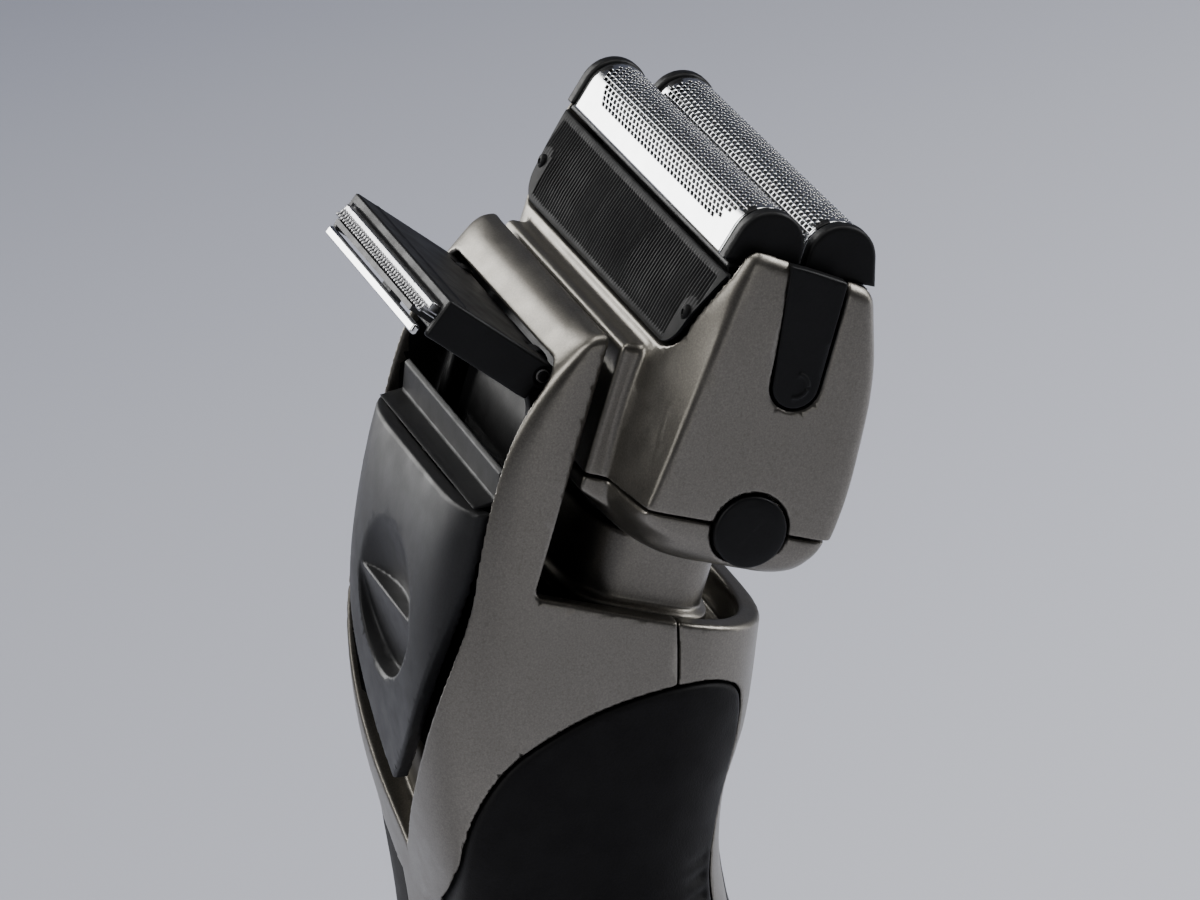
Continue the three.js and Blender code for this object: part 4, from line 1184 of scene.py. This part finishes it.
class SHAVER_OT_rib_panels(bpy.types.Operator):
    """Builds the ribbed side panels and the rivets that hold them"""

    bl_idname = "shaver.rib_panels"
    bl_label = "Ribbed panels and rivets"

    panel_from, panel_to, corner = 17.3, 27.5, 3.6
    half_top, half_bottom = 28.6, 26.6

    def underside(self, x):
        """Height of the panel's lower edge."""
        x = abs(x)
        flat = self.half_bottom - self.corner
        if x <= flat:
            return self.panel_from
        if x < self.half_bottom:
            drop = math.sqrt(max(self.corner**2 - (x - flat) ** 2, 0))
            return self.panel_from + self.corner - drop
        side_height = self.panel_to - self.panel_from - self.corner
        rise = side_height / (self.half_top - self.half_bottom)
        return self.panel_from + self.corner + (x - self.half_bottom) * rise

    def reach(self, x, z, inset):
        """How far back the head's skin is at a place on the panel."""
        half, back, _, square, _ = station_values(HEAD, np.array([z]))[0]
        u = min(abs(x) / (half + HOUSING_STEP), 0.999)
        return (back + HOUSING_STEP - inset) * (1 - u**square) ** (1 / square)

    def panel(self):
        """Points and faces of a panel's outer side, with its ribs and its smooth border."""
        pitch, height, border = size("rib_pitch"), size("rib_height"), 0.95
        round_rivet = 1.9
        edge_drops = (0.3, 0.12, 0)
        count = int(2 * (self.half_top - 0.15) / (pitch / 6))
        columns = np.linspace(-self.half_top + 0.08, self.half_top - 0.08, count + 1)
        points = []
        for x in columns:
            low, high = self.underside(x), self.panel_to
            start = low + border
            away = abs(abs(x) - RIVET_X)
            if away < round_rivet:
                start = max(start, RIVET_Z + math.sqrt(round_rivet**2 - away**2))
            stop = max(high - border, low + 0.02)
            start = min(start, stop)
            near_end = min(1, max(0, (self.half_top - 1.5 - abs(x)) / 0.4))
            levels = [
                low, low + 0.02, low + 0.14, (low + start) / 2, start - 0.12, start + 0.12,
                start + (stop - start) * 0.33, start + (stop - start) * 0.67,
                stop - 0.12, stop + 0.12, high - 0.14, high - 0.02, high,
            ]
            levels = np.maximum.accumulate(np.clip(levels, low, high))
            wave = 0.5 + 0.5 * math.cos(2 * math.pi * x / pitch)
            wave = min(1, 1.35 * wave)
            for k, z in enumerate(levels):
                drop = edge_drops[min(k, len(levels) - 1 - k, 2)]
                ribbed = height if 5 <= k <= 8 else 0
                sunk = ribbed * near_end * (1 - wave)
                points.append((x, -self.reach(x, z, drop + sunk), z))
        across = len(levels)
        faces = [
            (i * across + k, (i + 1) * across + k, (i + 1) * across + k + 1, i * across + k + 1)
            for i in range(len(columns) - 1)
            for k in range(across - 1)
        ]
        return points, faces

    def execute(self, context):
        points, faces = self.panel()
        seat = self.reach(RIVET_X, RIVET_Z, 0)
        dome = (
            (7.3, 0.55), (seat - 0.4, 0.6), (seat - 0.4, 0.9), (seat, 0.9), (seat + 0.2, 0.78),
            (seat + 0.32, 0.55), (seat + 0.34, 0.35), (seat + 0.2, 0.3), (seat + 0.2, 0.04),
        )
        for name, turn in (("rear", 0), ("front", math.pi)):
            about = IN_HEAD @ Matrix.Rotation(turn, 4, "Z")
            obj = from_faces(f"rib_panel_{name}_form", points, faces, about, 50)
            outward = about.to_3x3() @ Vector((0, -1, 0))
            if sum(p.normal.dot(outward) for p in obj.data.polygons[:400]) < 0:
                obj.data.flip_normals()
            thick = obj.modifiers.new("wall", "SOLIDIFY")
            thick.thickness, thick.offset = 0.9 * MM, -1
            node = f"rib_panel_{name}"
            settle(obj, "foil_cassette", "black_plastic", finish("rib_black"), node)
            for side, direction in SIDES:
                x = direction * RIVET_X * (1 if turn == 0 else -1)
                place = about @ Matrix.Translation((x, 0, RIVET_Z))
                place = place @ Matrix.Rotation(-math.pi / 2, 4, "Z")
                node = f"panel_rivet_{name}_{side}"
                obj = turned(f"{node}_form", dome, (0, 0), place, 1, 32)
                settle(obj, "foil_cassette", "steel", finish("rib_black"), node)
        return {"FINISHED"}


# ------------------------------------------------------------------ slider
class SHAVER_OT_slider(bpy.types.Operator):
    """Builds the slider panel with its round thumb dish, and the shelf above it"""

    bl_idname = "shaver.slider"
    bl_label = "Slider"

    def execute(self, context):
        space = Space((-19.5, -22, 76), (19.5, -8, 119.5), 0.28)
        outline = outline_field(space.x, space.z, leaf_points(6.6, 0.7, PANEL_TOP + 3))
        outline = both(outline, space.z - PANEL_TOP, 0.3)
        outer = loft(space, HANDLE, 0.4, 0.0)
        panel = both(outer, outline, 0.3)
        radial = np.hypot(space.x, space.z - DISH_Z)
        bowl_radius = 21.0
        centre_y = -20.5 - 0.25 - math.sqrt(bowl_radius**2 - DISH_RADIUS**2)
        bowl = np.sqrt(
            space.x**2 + (space.y - centre_y) ** 2 + (space.z - DISH_Z - 1.0) ** 2
        ) - bowl_radius
        upper = both(bowl, DISH_Z - 0.2 - space.z, 0.1)
        slope = (space.y + 20.6) - 1.9 * (DISH_Z - space.z) / DISH_RADIUS
        lower = both(slope * 0.98, space.z - DISH_Z, 0.1)
        dish = both(either(upper, lower), radial - DISH_RADIUS, 0.5)
        wall = -loft(space, HANDLE, 2.2, 0.0)
        behind = both(radial - DISH_RADIUS - 1.2, -loft(space, HANDLE, 3.9, 0.0))
        panel = both(panel, either(wall, behind))
        panel = cut(panel, dish, 0.25)
        obj = skin("slider_panel_form", space, panel)
        settle(obj, "slider", "grey_plastic", finish("grey"), "slider_panel")

        space = Space((-18.5, -16.5, 119), (18.5, -11.8, 123.6), 0.16)
        profile = [
            (-16.2, 119.2), (-12.9, 119.9), (-12.6, 123.0), (-12.0, 123.4), (-12.0, 119.2),
        ]
        shelf = outline_field(space.y, space.z, profile)
        shelf = both(shelf, np.abs(space.x) - 18.2, 0.25)
        obj = skin("slider_shelf_form", space, shelf)
        settle(obj, "slider", "black_plastic", finish("black"), "slider_shelf")
        return {"FINISHED"}


# ------------------------------------------------------------------ trimmer
class SHAVER_OT_trimmer(bpy.types.Operator):
    """Builds the flip-out trimmer's lid, its comb, its guard bar and the arms that carry it"""

    bl_idname = "shaver.trimmer"
    bl_label = "Trimmer"

    def execute(self, context):
        space = Space((-TRIMMER_HALF, -14.6, -3.5), (TRIMMER_HALF, 1.7, 1.7), 0.2)
        from_pin = np.hypot(space.y, space.z)
        hinge = from_pin - 1.5
        slab = both(space.y, between(space.z, -3.3, 1.5))
        lid = either(both(slab, -TRIMMER_REACH - space.y), both(hinge, -space.y - 0.2))
        lid = both(lid, np.abs(space.x) - TRIMMER_HALF, 0.3)
        lid = both(lid, -TRIMMER_REACH - space.y, 0.3)
        inside = both(np.abs(space.x) - 17.1, space.z - 0.3)
        inside = both(inside, space.y - 2.2)
        lid = cut(lid, inside, 0.1)
        lugs = both(from_pin - 2.2, np.abs(np.abs(space.x) - 13.5) - 1.3)
        ring = both(np.abs(from_pin - 0.85) - 0.14, TRIMMER_HALF - 0.3 - np.abs(space.x))
        lid = cut(lid, either(lugs, ring), 0.08)
        half = TRIMMER_INSIDE
        back = brick(space, (-half, -11.8, -3.2), (half, -10.6, 0.5), 0.2)
        shelf = brick(space, (-half, -14.1, -0.66), (half, -10.6, 0.5), 0.15)
        lid = either(lid, either(back, shelf))
        raised = both(np.abs(space.y + 11.6) - 0.35, np.abs(space.z - 1.5) - 0.16, 0.12)
        raised = both(raised, np.abs(space.x) - half, 0.1)
        lid = either(lid, raised, 0.1)
        lid = both(lid, space.z - 1.66)
        obj = skin("trimmer_lid_form", space, lid, IN_TRIMMER)
        settle(obj, "trimmer", "black_plastic", finish("black"), "trimmer_housing")

        space = Space((-COMB_HALF - 0.1, -16.2, -1.9), (COMB_HALF + 0.1, -12, 0.2), 0.14)
        plate = brick(space, (-COMB_HALF, -15.2, -0.95), (COMB_HALF, -12.2, 0.1), 0.15)
        pitch = size("tooth_pitch")
        wave = (np.mod(space.x + pitch / 2, pitch) - pitch / 2) * np.ones_like(space.y)
        tooth = np.hypot(wave, space.z + 1.3) - 0.24
        root = both(np.abs(wave) - 0.2, between(space.z, -1.3, -0.6), 0.05)
        tooth = both(either(tooth, root), between(space.y, -15.6, -12.6), 0.1)
        bead = np.sqrt(wave**2 + (space.y + 15.6) ** 2 + (space.z + 1.4) ** 2) - 0.31
        teeth = both(either(tooth, bead, 0.05), np.abs(space.x) - COMB_HALF + 0.3)
        obj = skin("trimmer_comb_form", space, either(plate, teeth, 0.08), IN_TRIMMER)
        settle(obj, "trimmer", "steel", finish("steel"), "trimmer_comb")

        space = Space((-COMB_HALF - 0.1, -15.8, -4.5), (COMB_HALF + 0.1, -14.4, -2.5), 0.14)
        bar = brick(space, (-COMB_HALF, -15.4, -4.1), (COMB_HALF, -14.5, -2.95), 0.3)
        obj = skin("trimmer_guard_bar_form", space, bar, IN_TRIMMER)
        settle(obj, "trimmer", "foil_metal", finish("bar"), "trimmer_guard_bar")

        space = Space((-14.7, -13.4, 109.8), (14.7, -5.5, 136), 0.25)
        arm = smooth_loop(
            ((-13, 110), (-11.2, 110), (-9.7, 115), (-7.5, 122.5), (-5.9, 129), (-6, HINGE_Z),
             (-9.3, HINGE_Z), (-7.9, 128.5), (-9.3, 122.5), (-11.4, 115)), 3,
        )
        width = between(np.abs(space.x), *TRIMMER_ARMS)
        from_pin = np.hypot(space.y - HINGE_Y, space.z - HINGE_Z)
        arms = both(outline_field(space.y, space.z, arm), width, 0.25)
        arms = either(arms, both(from_pin - 1.8, width, 0.25), 0.3)
        foot = brick(space, (-14.5, -13, 110), (14.5, -11.2, 113), 0.3)
        carrier = either(arms, foot, 0.4)
        carrier = cut(carrier, from_pin - 1.1)
        obj = skin("trimmer_carrier_form", space, carrier)
        settle(obj, "body", "black_plastic", finish("black"), "trimmer_carrier")
        return {"FINISHED"}


# ------------------------------------------------------------------ base and inside
class SHAVER_OT_base(bpy.types.Operator):
    """Builds the base cap with its socket opening and screw seats"""

    bl_idname = "shaver.base"
    bl_label = "Base cap"

    def execute(self, context):
        space = Space((-17.4, -15.2, 0), (17.4, 15.8, 8.6), 0.3)
        cap = both(loft(space, HANDLE), between(space.z, 0, BASE_HEIGHT), 0.7)
        hollow = both(loft(space, HANDLE, 4.9), 3 - space.z)
        plug = both(loft(space, HANDLE, 3.3), between(space.z, 2.5, 8.5), 0.3)
        cap = either(cut(cap, hollow), cut(plug, hollow))
        hole = both(np.abs(space.x) - 5.8, np.abs(space.y + 5.6) - 3.5, 0.6)
        screws = np.hypot(np.abs(space.x) - 11.2, space.y)
        seats = either(screws - 1.2, both(screws - 2.2, space.z - 1.6))
        cap = cut(cap, either(hole, seats), 0.25)
        obj = skin("base_cap_form", space, cap)
        settle(obj, "body", "black_plastic", finish("black"), "base_cap")
        return {"FINISHED"}


INSIDE = {
    "black": ("charging_socket", "battery_chassis", "cutter_bridge"),
    "steel": (
        "base_screw_right", "base_screw_left", "battery_tab_upper", "battery_tab_lower",
        "drive_motor", "motor_rotor", "pivot_frame", "head_pivot_pin_right",
        "head_pivot_pin_left", "neck_screw_right", "neck_screw_left", "trimmer_pivot_pin",
    ),
    "cutter": ("cutter_rear", "cutter_front", "trimmer_cutter"),
    "brass": ("socket_pin_right", "socket_pin_left"),
    "board": ("circuit_board",),
    "cell": ("battery_cell",),
}


class SHAVER_OT_inside(bpy.types.Operator):
    """Gives the pieces inside, which keep their CAD shapes, their finishes and small edges"""

    bl_idname = "shaver.inside"
    bl_label = "Pieces inside"

    def execute(self, context):
        for kind, names in INSIDE.items():
            for name in names:
                obj = nodes[name]
                obj.data.materials.clear()
                obj.data.materials.append(finish(kind))
                small = obj.modifiers.new("edge", "BEVEL")
                small.width = 0.08 * MM
                small.segments = 2
                small.limit_method = "ANGLE"
                small.angle_limit = math.radians(50)
        return {"FINISHED"}


# ------------------------------------------------------------------ stage
VIEW_TURN = math.radians(72)
VIEW_RISE = math.radians(21.7)
VIEW_DISTANCE = 815.2
LENS = 225.0
SCALE_AT_OBJECT = 9.2
AIM = Vector((31, 12, 118))
AIM_OFFSET = (151, 83)


class SHAVER_OT_stage(bpy.types.Operator):
    """Sets up the pale floor and backdrop, the soft lights and the camera"""

    bl_idname = "shaver.stage"
    bl_label = "Stage"

    def light(self, name, spot, target, width, height, power, colour):
        """A soft rectangular lamp at one place, turned towards another."""
        data = bpy.data.lights.new(name, "AREA")
        data.shape = "RECTANGLE"
        data.size, data.size_y = width, height
        data.energy = power
        data.color = colour
        lamp = bpy.data.objects.new(name, data)
        lamp.location = spot
        lamp.rotation_euler = (target - spot).to_track_quat("-Z", "Y").to_euler()
        bpy.context.scene.collection.objects.link(lamp)

    def execute(self, context):
        right = Vector((math.cos(VIEW_TURN), math.sin(VIEW_TURN), 0))
        level = Vector((math.sin(VIEW_TURN), -math.cos(VIEW_TURN), 0))
        back = level * math.cos(VIEW_RISE) + Vector((0, 0, math.sin(VIEW_RISE)))
        up = back.cross(right)
        spot = AIM + back * VIEW_DISTANCE
        spot -= (right * AIM_OFFSET[0] - up * AIM_OFFSET[1]) / SCALE_AT_OBJECT
        data = bpy.data.cameras.new("camera")
        data.lens, data.sensor_width = LENS, 36.0
        data.clip_start, data.clip_end = 0.01, 20.0
        camera = bpy.data.objects.new("camera", data)
        turn = Matrix((right, up, back)).transposed().to_4x4()
        camera.matrix_world = Matrix.Translation(spot * MM) @ turn
        bpy.context.scene.collection.objects.link(camera)
        bpy.context.scene.camera = camera

        # a floor that sweeps up into a backdrop behind the object
        profile = [(2.0, 0.0), (-1.1, 0.0)]
        profile += [
            (-1.1 - 0.6 * math.sin(a), 0.6 - 0.6 * math.cos(a))
            for a in np.linspace(0.1, math.pi / 2, 14)
        ]
        profile.append((-1.7, 3.0))
        points, faces = [], []
        for along, height in profile:
            for sideways in (-3.0, 3.0):
                p = level * along + right * sideways
                points.append((p.x / MM, p.y / MM, height / MM))
        for i in range(len(profile) - 1):
            faces.append((2 * i, 2 * i + 1, 2 * i + 3, 2 * i + 2))
        floor = from_faces("floor", points, faces, IN_BODY, 60)
        paper = Finish("studio_paper", (0.62, 0.63, 0.7), 0.0, 0.85)
        # painted shade: the paper's colour darkens towards the camera's left and up the backdrop, away
        # from the camera
        across = paper.node("ShaderNodeVectorMath", operation="DOT_PRODUCT")
        paper.link(paper.place, across.inputs[0])
        across.inputs[1].default_value = right * 2.2 + level * 1.6
        painted_shade = paper.spread(across.outputs["Value"], 1.0, 0.0, -1.05, 0.1)
        paper.tint(painted_shade, (0.2, 0.21, 0.26), 1.0)
        paper.bump(paper.noise(900.0, 2.0), 0.02, 0.0001)
        floor.data.materials.append(paper.done(0.03, 8.0))

        target = Vector((0, 0, 0.11))
        height = Vector((0, 0, 1))
        lamps = (
            ("key", -right * 0.75 + height * 0.6 + level * 0.35, 0.35, 0.8, 5.5),
            ("far_left", -right * 0.62 - level * 0.62 + height * 0.22, 0.35, 0.7, 6.5),
            ("top", height * 0.95 - level * 0.15, 0.6, 0.4, 3.2),
            ("fill", level * 1.1 + right * 0.5 - height * 0.02, 0.4, 0.4, 0.8),
            ("rim", right * 0.8 - level * 0.3 + height * 0.25, 0.2, 0.7, 1.6),
        )
        for name, offset, width, tall, power in lamps:
            self.light(name, target + offset, target, width, tall, power, (1, 0.995, 0.98))
        spot = target + right * 0.75 + height * 0.6 - level * 0.25
        aim = right * 0.35 - level * 0.75
        self.light("floor_wash", spot, aim, 0.5, 0.5, 9, (0.97, 0.98, 1))

        world = bpy.context.scene.world or bpy.data.worlds.new("studio")
        bpy.context.scene.world = world
        world.use_nodes = True
        shade = world.node_tree.nodes["Background"]
        shade.inputs["Color"].default_value = (0.55, 0.57, 0.64, 1)
        shade.inputs["Strength"].default_value = 0.05
        return {"FINISHED"}


OPERATORS = (
    SHAVER_OT_stage, SHAVER_OT_shells, SHAVER_OT_grips, SHAVER_OT_front, SHAVER_OT_head,
    SHAVER_OT_neck, SHAVER_OT_releases, SHAVER_OT_foils, SHAVER_OT_caps, SHAVER_OT_cassette,
    SHAVER_OT_rib_panels, SHAVER_OT_slider, SHAVER_OT_trimmer, SHAVER_OT_base, SHAVER_OT_inside,
)


class SHAVER_PT_build(bpy.types.Panel):
    """Lists the settings and the steps that build the shaver"""

    bl_label = "Shaver"
    bl_idname = "SHAVER_PT_build"
    bl_space_type = "VIEW_3D"
    bl_region_type = "UI"
    bl_category = "Shaver"

    def draw(self, context):
        layout = self.layout
        for settings in (context.scene.shaver_sizes, context.scene.shaver_colours):
            box = layout.box()
            for name in settings.__annotations__:
                box.prop(settings, name)
        for operator in OPERATORS:
            layout.operator(operator.bl_idname)


CLASSES = (ShaverSizes, ShaverColours, *OPERATORS, SHAVER_PT_build)


def register():
    """Makes the settings, the steps and the panel known to Blender."""
    for made in CLASSES:
        bpy.utils.register_class(made)
    bpy.types.Scene.shaver_sizes = PointerProperty(type=ShaverSizes)
    bpy.types.Scene.shaver_colours = PointerProperty(type=ShaverColours)


def unregister():
    """Takes away what register added."""
    del bpy.types.Scene.shaver_colours
    del bpy.types.Scene.shaver_sizes
    for made in reversed(CLASSES):
        bpy.utils.unregister_class(made)


def main():
    """Builds every piece in order."""
    register()
    for operator in OPERATORS:
        step = operator.bl_idname.split(".")[1]
        if getattr(bpy.ops.shaver, step)() != {"FINISHED"}:
            raise RuntimeError(f"step {step} did not finish")


if __name__ == "__main__":
    main()
